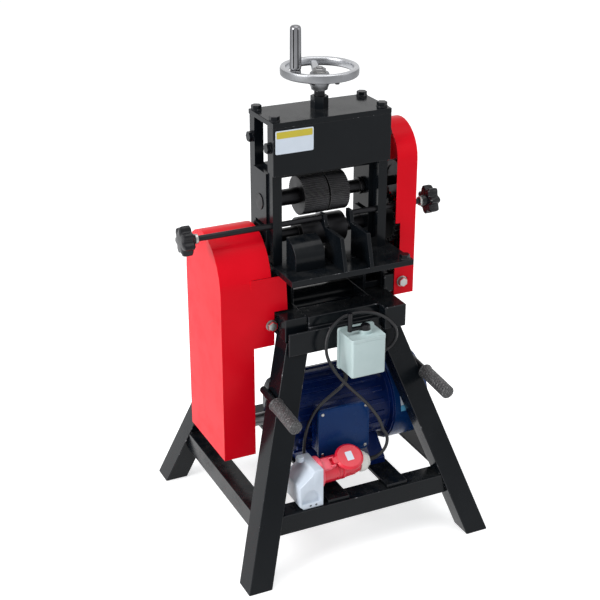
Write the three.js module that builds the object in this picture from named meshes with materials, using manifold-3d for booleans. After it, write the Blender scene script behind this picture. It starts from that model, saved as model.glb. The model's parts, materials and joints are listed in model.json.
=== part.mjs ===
// Electric wire stripping machine on a splayed tube stand, in millimetres.
// X runs along the roller and motor shafts, Y is the way the cable is fed, Z is up.
// The feed head sits on the stand, belts drive the jackshaft on the left, and a chain
// and a pair of gears drive the two roller shafts on the right.

import * as THREE from 'three';
import { mergeVertices } from 'three/addons/utils/BufferGeometryUtils.js';
import Module from 'manifold-3d';

const wasm = await Module();
wasm.setup();

// Driving dimensions of the stand
const tubeSize = 50;
const tubeWall = 3;
const standHeight = 480;
const standHalfWidth = 131;
const standHalfDepth = 122;
const legSpreadXShare = 0.327;
const legSpreadYShare = 0.313;
const railSize = 45;
const railWall = 5;
const railTop = 140;
const beamFrontReach = 28;
const beamSetBack = 5;
const crossTubeDiameter = 50;
const apronHeight = 51;
const apronWall = 5;

// Driving dimensions of the head
const headWidth = 264;
const sidePlateInset = 2;
const sidePlateThickness = 20;
const sidePlateDepth = 112;
const sidePlateHeight = 292;
const windowWidth = 64;
const windowSill = 12;
const topPlateThickness = 10;
const frontPlateThickness = 8;
const frontPlateHeight = 100;
const basePlateThickness = 12;
const basePlateFront = 150;
const basePlateBack = 130;
const basePlateRight = 146;
const pedestalHeight = 86;
const pedestalWall = 6;
const pedestalFront = 50;

// Driving dimensions of the shafts, rollers and drive
const upperShaftHeight = 122;
const lowerShaftHeight = 40;
const rollerDiameter = 84;
const rollerLeftWidth = 56;
const rollerRightWidth = 44;
const rollerGroove = 3;
const rollerTeeth = 54;
const rollerToothDepth = 3;
const supportDiameter = 64;
const bladeDiameter = 76;
const bladeThickness = 2.4;
const shaftDiameter = 34;
const stubDiameter = 28;
const jackDiameter = 25;
const gearModule = 4;
const gearTeeth = 25;
const gearWidth = 12;
const gearLeanDegrees = 11.5;
const chainPitch = 12.7;
const upperSprocketTeeth = 19;
const jackSprocketTeeth = 14;
const bigPulleyDiameter = 150;
const motorPulleyDiameter = 76;
const pulleyWidth = 34;
const beltWidth = 10;
const beltHeight = 8;
const beltCount = 2;

// Driving dimensions of the lift
const liftUp = 55;
const liftDown = 6;
const blockHeight = 110;
const blockThickness = 34;
const crossheadHeight = 26;
const crossheadDepth = 40;
const liftScrewDiameter = 22;
const liftNutAcross = 32;
const liftNutHeight = 26;
const wheelDiameter = 160;
const wheelRimHeight = 18;
const wheelRimWidth = 12;
const wheelLift = 77;
const wheelHubDiameter = 40;
const wheelHandleRadius = 62;
const wheelHandleLength = 104;
const wheelHandleDiameter = 26;

// Driving dimensions of the guides and knobs
const guideHeight = 68;
const guideThickness = 8;
const guideGap = 52;
const guideCentre = 18;
const guideScrewDiameter = 12;
const guideScrewHeight = 83;
const guideScrewFront = 46;
const knobDiameter = 63;
const knobThickness = 24;
const knobLobes = 7;
const leftKnobReach = 316;
const rightKnobReach = 240;

// Driving dimensions of the guards
const guardWall = 2;
const beltGuardWidth = 72;
const beltGuardDepth = 190;
const beltGuardInner = 184;
const beltGuardFront = 76;
const beltGuardBottom = 208;
const beltGuardTop = 684;
const flapWidth = 76;
const flapTop = 611;
const flapStep = 534;
const flapBottom = 458;
const lowerFlapWidth = 46;
const chainGuardWidth = 47;
const chainGuardDepth = 146;
const chainGuardInner = 150;
const chainGuardFront = 64;
const chainGuardBottom = 512;
const chainGuardTop = 885;
const chainGuardNotch = 11;

// Driving dimensions of the motor and electrics
const motorAxisY = -25;
const motorShaftHeight = 112;
const motorBodyDiameter = 180;
const motorBodyLength = 256;
const motorBodyLeft = -122;
const finCount = 20;
const finHeight = 9;
const cowlDiameter = 205;
const cowlLength = 90;
const cowlWall = 2.5;
const motorShaftDiameter = 28;
const motorBarWidth = 50;
const motorBarThickness = 8;
const motorFootSpan = 140;
const terminalWidth = 114;
const terminalHeight = 108;
const terminalDepth = 40;
const terminalRise = 8;
const switchWidth = 78;
const switchHeight = 86;
const switchDepth = 64;
const switchLeft = -20;
const socketBoxWidth = 55;
const socketBoxDepth = 76;
const socketBoxHeight = 88;
const plugDiameter = 54;
const lidDiameter = 62;
const gripDiameter = 29;
const gripLength = 98;
const handleRodDiameter = 16;
const handleDroopShare = 0.075;
const handleHeightShare = 0.69;
const handleBack = -100;
const cableDiameter = 7;
const cableSides = 8;
const cableStepShare = 2.5;

// Small shared clearances and allowances
const gap = 0.3;
const runningGap = 0.8;
const overrun = 5;
const boltDiameter = 12;
const boltHeadAcross = 19;
const boltHeadHeight = 8;
const washerThickness = 2;
const washerShare = 1.25;

// Heights and places that follow from the driving dimensions
const beamTop = standHeight + tubeSize;
const basePlateBottom = beamTop + pedestalHeight;
const table = basePlateBottom + basePlateThickness;
const headTop = table + sidePlateHeight;
const upperAxis = table + upperShaftHeight;
const lowerAxis = table + lowerShaftHeight;
const gearDistance = gearModule * gearTeeth;
const gearLean = THREE.MathUtils.degToRad(gearLeanDegrees);
const jackY = gearDistance * Math.sin(gearLean);
const jackAxis = lowerAxis - gearDistance * Math.cos(gearLean);
const motorBarTop = railTop + motorBarThickness;
const motorAxis = motorBarTop + motorShaftHeight;
const sideOuter = headWidth / 2 - sidePlateInset;
const sideInner = sideOuter - sidePlateThickness;
const screwHeight = table + guideScrewHeight;
const chainPlane = chainGuardInner + chainGuardWidth * 0.7;
const gearPlane = chainGuardInner + chainGuardWidth * 0.25;
const legTopX = standHalfWidth;
const legTopY = standHalfDepth;
const legWidthX = tubeSize * Math.hypot(1, legSpreadXShare);
const legWidthY = tubeSize * Math.hypot(1, legSpreadYShare);

const paint = {
  black: () => new THREE.MeshStandardMaterial({ color: 0x2b2d2f, roughness: 0.42, metalness: 0.1 }),
  red: () => new THREE.MeshStandardMaterial({ color: 0xc8102e, roughness: 0.35, metalness: 0.05 }),
  blue: () => new THREE.MeshStandardMaterial({ color: 0x17243f, roughness: 0.45, metalness: 0.1 }),
  steel: () => new THREE.MeshStandardMaterial({ color: 0x8d9194, roughness: 0.4, metalness: 0.9 }),
  chrome: () => new THREE.MeshStandardMaterial({ color: 0xd9dcde, roughness: 0.12, metalness: 1 }),
  rubber: () => new THREE.MeshStandardMaterial({ color: 0x1b1b1c, roughness: 0.8, metalness: 0 }),
  white: () => new THREE.MeshStandardMaterial({ color: 0xe9eaea, roughness: 0.4, metalness: 0 }),
  plugRed: () => new THREE.MeshStandardMaterial({ color: 0xb5121b, roughness: 0.4, metalness: 0 }),
};

const up = new THREE.Vector3(0, 0, 1);
const leftwards = new THREE.Vector3(-1, 0, 0);
const rightwards = new THREE.Vector3(1, 0, 0);
const forwards = new THREE.Vector3(0, -1, 0);
const machine = new THREE.Group();

// A closed mesh with merged corners, no flat slivers, and faces that point out
function closed(geometry) {
  const bare = new THREE.BufferGeometry();
  bare.setAttribute('position', geometry.getAttribute('position'));
  if (geometry.index) bare.setIndex(geometry.index);
  const merged = mergeVertices(bare);
  const from = merged.index.array;
  const place = merged.getAttribute('position');
  const kept = [];
  let volume = 0;
  const a = new THREE.Vector3();
  const b = new THREE.Vector3();
  const c = new THREE.Vector3();
  for (let i = 0; i < from.length; i += 3) {
    const [p, q, r] = [from[i], from[i + 1], from[i + 2]];
    if (p === q || q === r || r === p) continue;
    kept.push(p, q, r);
    a.fromBufferAttribute(place, p);
    b.fromBufferAttribute(place, q);
    c.fromBufferAttribute(place, r);
    volume += a.dot(b.cross(c));
  }
  if (volume < 0) {
    for (let i = 0; i < kept.length; i += 3) [kept[i], kept[i + 1]] = [kept[i + 1], kept[i]];
  }
  merged.setIndex(kept);
  return merged;
}

function solid(geometry) {
  const mesh = closed(geometry);
  return new wasm.Manifold(new wasm.Mesh({
    numProp: 3,
    vertProperties: new Float32Array(mesh.getAttribute('position').array),
    triVerts: new Uint32Array(mesh.index.array),
  }));
}

function surface(manifold) {
  const mesh = manifold.getMesh();
  const geometry = new THREE.BufferGeometry();
  geometry.setAttribute('position', new THREE.BufferAttribute(mesh.vertProperties, 3));
  geometry.setIndex(new THREE.BufferAttribute(mesh.triVerts, 1));
  return geometry;
}

function join(...pieces) {
  return surface(pieces.map(solid).reduce((whole, piece) => whole.add(piece)));
}

function cut(piece, ...tools) {
  return surface(tools.map(solid).reduce((whole, tool) => whole.subtract(tool), solid(piece)));
}

function piece(name, geometry, material, x = 0, y = 0, z = 0) {
  const mesh = new THREE.Mesh(closed(geometry), material());
  mesh.name = name;
  mesh.position.set(x, y, z);
  machine.add(mesh);
  return mesh;
}

// A box between two corners
function bar([x0, x1], [y0, y1], [z0, z1]) {
  const geometry = new THREE.BoxGeometry(x1 - x0, y1 - y0, z1 - z0);
  return geometry.translate((x0 + x1) / 2, (y0 + y1) / 2, (z0 + z1) / 2);
}

// An outline drawn in Y and Z, given its thickness along +X
function sideSlab(shape, thickness, x = 0, curveSegments = 8) {
  const geometry = new THREE.ExtrudeGeometry(shape, { depth: thickness, bevelEnabled: false, curveSegments });
  geometry.applyMatrix4(new THREE.Matrix4().set(0, 0, 1, x, 1, 0, 0, 0, 0, 1, 0, 0, 0, 0, 0, 1));
  return geometry;
}

// An outline drawn in X and Z, given its thickness along -Y
function frontSlab(shape, thickness, y = 0, curveSegments = 8) {
  const geometry = new THREE.ExtrudeGeometry(shape, { depth: thickness, bevelEnabled: false, curveSegments });
  geometry.applyMatrix4(new THREE.Matrix4().set(1, 0, 0, 0, 0, 0, -1, y, 0, 1, 0, 0, 0, 0, 0, 1));
  return geometry;
}

function polygon(points) {
  return new THREE.Shape(points.map(([u, v]) => new THREE.Vector2(u, v)));
}

// A turned piece along X from [place along X, radius] pairs
function turnedX(profile, sides = 32) {
  const geometry = new THREE.LatheGeometry(profile.map(([u, r]) => new THREE.Vector2(r, u)), sides);
  geometry.applyMatrix4(new THREE.Matrix4().set(0, 1, 0, 0, 0, 0, 1, 0, 1, 0, 0, 0, 0, 0, 0, 1));
  return geometry;
}

// A turned piece along Z from [height, radius] pairs
function turnedZ(profile, sides = 32) {
  const geometry = new THREE.LatheGeometry(profile.map(([u, r]) => new THREE.Vector2(r, u)), sides);
  return geometry.rotateX(Math.PI / 2);
}

function rod(diameter, x0, x1, sides = 24) {
  return turnedX([[x0, 0], [x0, diameter / 2], [x1, diameter / 2], [x1, 0]], sides);
}

function post(diameter, z0, z1, sides = 24) {
  return turnedZ([[z0, 0], [z0, diameter / 2], [z1, diameter / 2], [z1, 0]], sides);
}

function hexHead(across, height) {
  return post(across / Math.cos(Math.PI / 6), 0, height, 6);
}

// A hexagon head on a plain washer, set a little into the face that it holds down
function bolt(x, y, z, aim) {
  const head = hexHead(boltHeadAcross, boltHeadHeight).translate(0, 0, washerThickness - gap);
  const washer = post(boltHeadAcross * washerShare, -gap, washerThickness, 12);
  const geometry = join(head, washer);
  geometry.applyQuaternion(new THREE.Quaternion().setFromUnitVectors(up, aim));
  return geometry.translate(x, y, z);
}

// The side of a slanted leg at a height, measured out from the middle of the stand
function legOuterX(z) {
  return legTopX + legSpreadXShare * (standHeight - z);
}

function legOuterY(z) {
  return legTopY + legSpreadYShare * (standHeight - z);
}

// Stand: legs are square tubes whose level cuts slide outwards towards the floor
function leg(signX, signY) {
  const [a, b] = [legWidthX, legWidthY];
  const outline = polygon([[0, 0], [a, 0], [a, b], [0, b]]);
  const wallX = tubeWall * a / tubeSize;
  const wallY = tubeWall * b / tubeSize;
  const bore = [[wallX, wallY], [wallX, b - wallY], [a - wallX, b - wallY], [a - wallX, wallY]];
  outline.holes.push(new THREE.Path(bore.map(([u, v]) => new THREE.Vector2(u, v))));
  const height = standHeight - gap;
  const tube = new THREE.ExtrudeGeometry(outline, { depth: height, bevelEnabled: false });
  const place = tube.getAttribute('position');
  for (let i = 0; i < place.count; i += 1) {
    const z = place.getZ(i);
    const x = signX * (legOuterX(z) - place.getX(i));
    const y = signY * (legOuterY(z) - place.getY(i));
    place.setXYZ(i, x, y, z);
  }
  return tube;
}

piece('leg_front_left', leg(-1, -1), paint.black);
piece('leg_front_right', leg(1, -1), paint.black);
piece('leg_rear_left', leg(-1, 1), paint.black);
piece('leg_rear_right', leg(1, 1), paint.black);

// Top frame: two beams along Y, joined by a front and a rear cross beam and a round tube
const beamOuter = standHalfWidth + sidePlateInset / 2;
const beamInner = beamOuter - tubeSize;
const beamBack = standHalfDepth + beamFrontReach;
const bracketReach = 27;
const bracketDepth = 13;
const bracketHeight = 30;
const flapBoltHeight = 505;
const flapBoltX = -145;
const guardFaceBack = -beltGuardFront + guardWall;

const leftBeam = bar([-beamOuter, -beamInner], [-standHalfDepth + beamSetBack, beamBack], [standHeight, beamTop]);
const guardBracket = bar([-beamOuter - bracketReach, -beamOuter + overrun],
  [guardFaceBack + gap, guardFaceBack + bracketDepth],
  [flapBoltHeight - bracketHeight / 2, flapBoltHeight + bracketHeight / 2 - overrun]);
piece('beam_left', join(leftBeam, guardBracket), paint.black);

// The bracket behind the front wall of the chain guard, which the guard is bolted to
const chainBoltHeight = 542;
const chainBoltX = 168;
const chainBracketFront = -chainGuardFront + guardWall + gap;
const rightBeam = bar([beamInner, beamOuter], [-standHalfDepth - beamFrontReach, beamBack], [standHeight, beamTop]);
const chainBracket = bar([beamOuter - overrun, chainBoltX + boltHeadAcross],
  [chainBracketFront, -pedestalFront - 2 * gap], [beamTop - boltHeadAcross / 2, chainBoltHeight + boltHeadAcross]);
piece('beam_right', join(rightBeam, chainBracket), paint.black);

const crossHalf = beamInner - gap;
const crossFront = standHalfDepth;
const apronTop = standHeight + tubeSize / 2;
const apronBottom = apronTop - apronHeight;
const apronBack = -legOuterY(apronBottom) - gap;
const apronFront = apronBack - apronWall;

function frontCrossBeam() {
  const tube = bar([-crossHalf, crossHalf], [-crossFront, -crossFront + tubeSize], [standHeight, beamTop]);
  const apron = bar([-beamOuter, crossHalf], [apronFront, apronBack], [apronBottom, apronTop]);
  const flange = bar([-crossHalf, crossHalf], [apronFront, -crossFront + apronWall],
    [apronTop - apronWall, apronTop]);
  return join(tube, apron, flange);
}

piece('cross_beam_front', frontCrossBeam(), paint.black);
piece('cross_beam_rear', bar([-crossHalf, crossHalf], [beamBack - tubeSize, beamBack],
  [standHeight, beamTop]), paint.black);
piece('cross_tube', rod(crossTubeDiameter, -crossHalf, crossHalf, 28), paint.black,
  0, jackY, standHeight + tubeSize / 2);

// Base rails: angle iron between the legs, cut to the slant of the legs, flange on top
function railAlongX(signY) {
  const face = legOuterY(railTop);
  const profile = polygon([[0, 0], [0, railSize], [railSize, railSize], [railSize, railSize - railWall],
    [railWall, railSize - railWall], [railWall, 0]]);
  const rail = sideSlab(profile, railSize);
  const place = rail.getAttribute('position');
  for (let i = 0; i < place.count; i += 1) {
    const z = railTop - railSize + place.getZ(i);
    const end = legOuterX(z) - legWidthX - gap;
    place.setXYZ(i, place.getX(i) > 0 ? end : -end, signY * (face - place.getY(i)), z);
  }
  return rail;
}

function railAlongY(signX) {
  const face = legOuterX(railTop);
  const profile = polygon([[0, 0], [0, railSize], [railSize, railSize], [railSize, railSize - railWall],
    [railWall, railSize - railWall], [railWall, 0]]);
  const rail = sideSlab(profile, railSize);
  const place = rail.getAttribute('position');
  for (let i = 0; i < place.count; i += 1) {
    const z = railTop - railSize + place.getZ(i);
    const end = legOuterY(z) - legWidthY - gap;
    const along = place.getX(i) > 0 ? end : -end;
    place.setXYZ(i, signX * (face - place.getY(i)), along, z);
  }
  return rail;
}

piece('rail_front', railAlongX(-1), paint.black);
piece('rail_rear', railAlongX(1), paint.black);
piece('rail_left', railAlongY(-1), paint.black);
piece('rail_right', railAlongY(1), paint.black);

const footNear = motorBodyLeft + motorBodyLength / 4;
const footXs = [footNear, footNear + motorFootSpan];
const motorBarHalf = legOuterY(railTop) - railWall;
footXs.forEach((x, i) => {
  piece(['motor_bar_left', 'motor_bar_right'][i], bar([x - motorBarWidth / 2, x + motorBarWidth / 2],
    [-motorBarHalf, motorBarHalf], [railTop + gap, motorBarTop]), paint.black);
});

// Push handles: rods along the outer side of the front legs, with rubber grips
const handleRodZ = railTop + (standHeight - railTop) * handleHeightShare;
const gripFoot = handleRodZ - gripDiameter;
const gripBack = -legOuterY(gripFoot) - gap;
const rodDrop = (legOuterY(handleRodZ) + handleBack) * handleDroopShare;
const rodOffset = (handleRodDiameter / 2 + gap) * Math.hypot(1, legSpreadXShare);
const handleRodX = legOuterX(handleRodZ - rodDrop) + rodOffset;
const gripWall = (gripDiameter - handleRodDiameter) / 2;

function alongHandle(geometry, sign) {
  const droop = Math.atan(handleDroopShare);
  geometry.rotateZ(-Math.PI / 2);
  geometry.rotateX(droop);
  return geometry.translate(sign * handleRodX, handleBack, handleRodZ);
}

function handleRod(sign) {
  return alongHandle(rod(handleRodDiameter, 0, handleBack - gripBack + gripLength - gripWall, 14), sign);
}

function handleGrip(sign) {
  const start = handleBack - gripBack;
  const end = start + gripLength;
  const outer = gripDiameter / 2;
  const round = gripWall / 2;
  return alongHandle(turnedX([[start, 0], [start, outer + round / 2], [start + round, outer + round / 2],
    [start + 2 * round, outer], [end - round, outer], [end, outer - round], [end, 0]], 14), sign);
}

piece('push_handle_left', join(handleRod(-1), handleGrip(-1)), paint.rubber);
piece('push_handle_right', join(handleRod(1), handleGrip(1)), paint.rubber);

// Pedestals: inverted channels on the beams, with a bearing block inside for the jackshaft
const shaftWindowPlay = 11;
const bearingSoleShare = 0.36;
const shaftWindow = jackDiameter + shaftWindowPlay;
const bearingWidth = 34;
const bearingLength = 126;
const bearingHousing = 62;

function pedestal(sign) {
  const outer = bar([beamInner, beamOuter], [-pedestalFront, basePlateBack], [beamTop + gap, basePlateBottom - gap]);
  const inner = bar([beamInner + pedestalWall, beamOuter - pedestalWall],
    [-pedestalFront - overrun, basePlateBack + overrun],
    [beamTop - overrun, basePlateBottom - gap - pedestalWall]);
  const hole = rod(shaftWindow, beamInner - overrun, beamOuter + overrun, 16).translate(0, jackY, jackAxis);
  return cut(outer, inner, hole).scale(sign, 1, 1);
}

function pillowBlock() {
  const rise = jackAxis - beamTop - gap;
  const round = bearingHousing / 2;
  const outline = new THREE.Shape();
  const sole = rise * bearingSoleShare;
  outline.moveTo(-bearingLength / 2, -rise);
  outline.lineTo(bearingLength / 2, -rise);
  outline.lineTo(bearingLength / 2, -rise + sole);
  outline.lineTo(round, -rise + sole);
  outline.absarc(0, 0, round, 0, Math.PI, false);
  outline.lineTo(-round, -rise + sole);
  outline.lineTo(-bearingLength / 2, -rise + sole);
  const bore = new THREE.Path();
  bore.absarc(0, 0, jackDiameter / 2 + gap, 0, 2 * Math.PI, true);
  outline.holes.push(bore);
  return sideSlab(outline, bearingWidth, -bearingWidth / 2);
}

const beamMiddle = (beamInner + beamOuter) / 2;
piece('pedestal_left', pedestal(-1), paint.black);
piece('pedestal_right', pedestal(1), paint.black);
piece('pillow_block_left', pillowBlock(), paint.steel, -beamMiddle, jackY, jackAxis);
piece('pillow_block_right', pillowBlock(), paint.steel, beamMiddle, jackY, jackAxis);

// Head: base plate, side plates with the bearing windows, top plate and front plate
const cornerInset = 14;
piece('base_plate', join(
  bar([-headWidth / 2, basePlateRight], [-basePlateFront, basePlateBack], [basePlateBottom, table]),
  bolt(basePlateRight - cornerInset, -basePlateFront + cornerInset, table, up),
), paint.black);

const screwHole = guideScrewDiameter + 2 * runningGap;

const barMiddle = (sidePlateDepth / 2 + windowWidth / 2) / 2;
const sideBoltDrop = 45;

function sidePlate(sign) {
  const half = sidePlateDepth / 2;
  const slot = windowWidth / 2;
  const top = sidePlateHeight - 2 * gap;
  const outline = polygon([[-half, 0], [half, 0], [half, top], [slot, top], [slot, windowSill],
    [-slot, windowSill], [-slot, top], [-half, top]]);
  const hole = new THREE.Path();
  hole.absarc(-guideScrewFront, guideScrewHeight - gap, screwHole / 2, 0, 2 * Math.PI, true);
  outline.holes.push(hole);
  const plate = sideSlab(outline, sidePlateThickness, -sidePlateThickness / 2);
  const face = sign * sidePlateThickness / 2;
  const aim = sign < 0 ? leftwards : rightwards;
  return join(plate, ...[-barMiddle, barMiddle].map((y) => bolt(face, y, sidePlateHeight - sideBoltDrop, aim)));
}

const sideMiddle = (sideOuter + sideInner) / 2;
piece('side_plate_left', sidePlate(-1), paint.black, -sideMiddle, 0, table + gap);
piece('side_plate_right', sidePlate(1), paint.black, sideMiddle, 0, table + gap);

const headFront = -sidePlateDepth / 2 - frontPlateThickness;
const headBack = sidePlateDepth / 2;
const liftHole = liftScrewDiameter + 2 * runningGap;
const plateTop = headTop + topPlateThickness;

// Top plate with its four bolts and the hexagon nut of the lift screw
function topPlate() {
  const plate = bar([-headWidth / 2, headWidth / 2], [headFront, headBack], [headTop, plateTop]);
  const nut = hexHead(liftNutAcross, liftNutHeight + gap).translate(0, 0, plateTop - gap);
  const corners = [-1, 1].flatMap((i) => [-1, 1].map((j) => bolt(i * sideMiddle, j * barMiddle, plateTop, up)));
  return cut(join(plate, nut, ...corners), post(liftHole, headTop - overrun, plateTop + liftNutHeight + overrun));
}

piece('top_plate', topPlate(), paint.black);
piece('front_plate', bar([-headWidth / 2, headWidth / 2], [headFront, headFront + frontPlateThickness - gap],
  [headTop - frontPlateHeight, headTop - gap]), paint.black);

// Front shield: a rolled cover in front of the left half of the blade shaft
const shieldLeft = -104;
const shieldWidth = 66;
const shieldDepth = 46;
const shieldHeight = 60;
const shieldBack = -62;
const shieldRoundShare = 0.8;

function frontShield() {
  const outline = new THREE.Shape();
  const round = shieldDepth * shieldRoundShare;
  outline.moveTo(0, 0);
  outline.lineTo(-shieldDepth, 0);
  outline.lineTo(-shieldDepth, shieldHeight - round);
  outline.absellipse(0, shieldHeight - round, shieldDepth, round, Math.PI, Math.PI / 2, true);
  outline.lineTo(0, 0);
  return sideSlab(outline, shieldWidth);
}

piece('front_shield', frontShield(), paint.black, shieldLeft, shieldBack, table + gap);

// Lower bearing blocks, fixed in the windows under the carriage
const lowerBlockTop = lowerShaftHeight * 2 - windowSill + overrun / 2;

function lowerBlock() {
  const half = windowWidth / 2 - gap;
  const foot = windowSill + 2 * gap;
  const outline = polygon([[-half, foot], [half, foot], [half, lowerBlockTop], [-half, lowerBlockTop]]);
  const bore = new THREE.Path();
  bore.absarc(0, lowerShaftHeight, stubDiameter / 2 + gap, 0, 2 * Math.PI, true);
  outline.holes.push(bore);
  return sideSlab(outline, blockThickness, -blockThickness / 2);
}

const blockInset = 3;
const blockMiddle = sideMiddle - blockInset;
piece('lower_block_left', lowerBlock(), paint.steel, -blockMiddle, 0, table);
piece('lower_block_right', lowerBlock(), paint.steel, blockMiddle, 0, table);

// Carriage: two sliding bearing blocks and the crosshead that the screw pushes on
const rollerRadius = rollerDiameter / 2;
const crossheadClearance = 8;
const crossheadRise = rollerRadius + crossheadClearance;

function carriage() {
  const half = windowWidth / 2 - gap;
  const low = -rollerRadius;
  const block = (x) => bar([x - blockThickness / 2, x + blockThickness / 2], [-half, half], [low, low + blockHeight]);
  const crosshead = bar([-blockMiddle, blockMiddle], [-crossheadDepth / 2, crossheadDepth / 2],
    [crossheadRise, crossheadRise + crossheadHeight]);
  const span = blockMiddle + blockThickness;
  const whole = join(block(-blockMiddle), block(blockMiddle), crosshead);
  return cut(whole,
    rod(shaftDiameter + 2 * gap, -span, 0, 32),
    rod(stubDiameter + 2 * gap, 0, span, 32));
}

piece('lift_carriage', carriage(), paint.steel, 0, 0, upperAxis);

// Lift screw, handwheel and its revolving handle
const screwFoot = crossheadRise + crossheadHeight + gap;
const wheelPlane = headTop + topPlateThickness + wheelLift;
const hubDrop = 40;
const hubInset = 4;
const hubNeckShare = 0.42;
const hubNeckHeight = 10;
const hubNutAcross = 24;
const hubNutHeight = 14;
const armWidth = 18;
const armFoot = [-30, -14];
const armTip = [-8, 4];
const handleBossDiameter = 22;
const handleBossDepth = 6;
const seat = 1;
const hubBottom = wheelPlane - hubDrop;
const hubTop = wheelPlane - hubInset;

piece('lift_screw', post(liftScrewDiameter, upperAxis + screwFoot, hubBottom - gap, 28), paint.steel);

function handwheel() {
  const outer = wheelDiameter / 2;
  const inner = outer - wheelRimWidth;
  const [low, high] = [-wheelRimHeight / 2, wheelRimHeight / 2];
  const round = wheelRimWidth / 4;
  const hubRadius = wheelHubDiameter / 2;
  const rim = turnedZ([[low, inner + round], [low, outer - round], [low + round, outer], [high - round, outer],
    [high, outer - round], [high, inner + round], [high - round, inner], [low + round, inner],
    [low, inner + round]], 32);
  const hub = turnedZ([[-hubDrop, 0], [-hubDrop, wheelHubDiameter * hubNeckShare],
    [-hubDrop + hubNeckHeight, hubRadius], [-hubInset, hubRadius], [-hubInset, 0]], 20);
  const cap = hexHead(hubNutAcross, hubNutHeight).translate(0, 0, -hubInset - seat);
  const reach = outer - wheelRimWidth / 2;
  const spoke = (turn) => {
    const arm = polygon([[0, armFoot[0]], [0, armFoot[1]], [reach, armTip[1]], [reach, armTip[0]]]);
    return frontSlab(arm, armWidth, armWidth / 2).rotateZ(turn);
  };
  const boss = post(handleBossDiameter, -handleBossDepth, high + seat, 20).translate(-wheelHandleRadius, 0, 0);
  const turns = [Math.PI, Math.PI / 3, -Math.PI / 3];
  return join(rim, hub, cap, boss, ...turns.map(spoke));
}

const wheelTurn = THREE.MathUtils.degToRad(14);
const wheel = piece('handwheel', handwheel(), paint.chrome, 0, 0, wheelPlane);
wheel.rotation.z = wheelTurn;

// The handle's outline as heights up from its foot, or down from its top, and shares of its radius
const handleFootHeights = [0, 6, 12, 34];
const handleFootShares = [0.62, 0.7, 0.95, 1];
const handleTopDrops = [20, 6, 1];
const handleTopShares = [0.9, 0.82, 0.6];

function wheelHandle() {
  const foot = wheelRimHeight / 2 + seat + gap;
  const top = foot + wheelHandleLength;
  const r = wheelHandleDiameter / 2;
  return turnedZ([[foot, 0], ...handleFootHeights.map((rise, i) => [foot + rise, r * handleFootShares[i]]),
    ...handleTopDrops.map((drop, i) => [top - drop, r * handleTopShares[i]]), [top, 0]], 16);
}

piece('wheel_handle', wheelHandle(), paint.chrome,
  -wheelHandleRadius * Math.cos(wheelTurn), -wheelHandleRadius * Math.sin(wheelTurn), wheelPlane);

// Feed rollers with cut teeth; the teeth of the right one are skewed
function toothedOutline(tipRadius, depth, teeth) {
  const points = [];
  for (let i = 0; i < teeth; i += 1) {
    const turn = 2 * Math.PI * i / teeth;
    const next = turn + Math.PI / teeth;
    points.push([tipRadius * Math.cos(turn), tipRadius * Math.sin(turn)]);
    points.push([(tipRadius - depth) * Math.cos(next), (tipRadius - depth) * Math.sin(next)]);
  }
  return points;
}

function feedRoller(width, bore, skewDegrees) {
  const outline = polygon(toothedOutline(rollerRadius, rollerToothDepth, rollerTeeth));
  const hole = new THREE.Path();
  hole.absarc(0, 0, bore / 2, 0, 2 * Math.PI, true);
  outline.holes.push(hole);
  const geometry = new THREE.ExtrudeGeometry(outline, { depth: width, bevelEnabled: false, curveSegments: 10 });
  const place = geometry.getAttribute('position');
  const skew = THREE.MathUtils.degToRad(skewDegrees);
  for (let i = 0; i < place.count; i += 1) {
    const [u, v] = [place.getX(i), place.getY(i)];
    const turn = Math.hypot(u, v) > bore ? skew * place.getZ(i) / width : 0;
    place.setXY(i, u * Math.cos(turn) - v * Math.sin(turn), u * Math.sin(turn) + v * Math.cos(turn));
  }
  geometry.applyMatrix4(new THREE.Matrix4().set(0, 0, 1, 0, 1, 0, 0, 0, 0, 1, 0, 0, 0, 0, 0, 1));
  return geometry;
}

const rollersLeft = -rollerLeftWidth + rollerGroove + overrun / 2;
const grooveLeft = rollersLeft + rollerLeftWidth;
const grooveRight = grooveLeft + rollerGroove;
const rollersRight = grooveRight + rollerRightWidth;
const rollerSeatStep = 4;
const rollerSkewDegrees = 14;
const rollerBore = shaftDiameter - rollerSeatStep;
const chainThickness = 12;
const shaftEnd = chainPlane + chainThickness / 2 + gap;

piece('feed_roller_left', feedRoller(rollerLeftWidth - gap, rollerBore + 2 * gap, 0), paint.steel,
  rollersLeft, 0, upperAxis);
piece('feed_roller_right', feedRoller(rollerRightWidth, rollerBore + 2 * gap, rollerSkewDegrees), paint.steel,
  grooveRight, 0, upperAxis);

function sprocketRadius(teeth) {
  return chainPitch / (2 * Math.sin(Math.PI / teeth));
}

const sprocketWidth = 6.5;
const sprocketTipShare = 0.22;
const sprocketToothShare = 0.5;

// A chain wheel with pointed teeth, along X about its middle
function sprocket(teeth, x) {
  const tip = sprocketRadius(teeth) + chainPitch * sprocketTipShare;
  const outline = polygon(toothedOutline(tip, chainPitch * sprocketToothShare, teeth));
  return sideSlab(outline, sprocketWidth, x - sprocketWidth / 2);
}

// The shafts' ends stand out of the blocks, and step down to seats outside the right one
const shaftStandOut = 2;
const seatStandOut = 4;
const seatStep = 4;
const stopCollarWidth = 8;
const stopCollarRise = 4;
const shaftLeftEnd = -blockMiddle - blockThickness / 2 - shaftStandOut;
const shaftStep = blockMiddle + blockThickness / 2 + seatStandOut;

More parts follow.
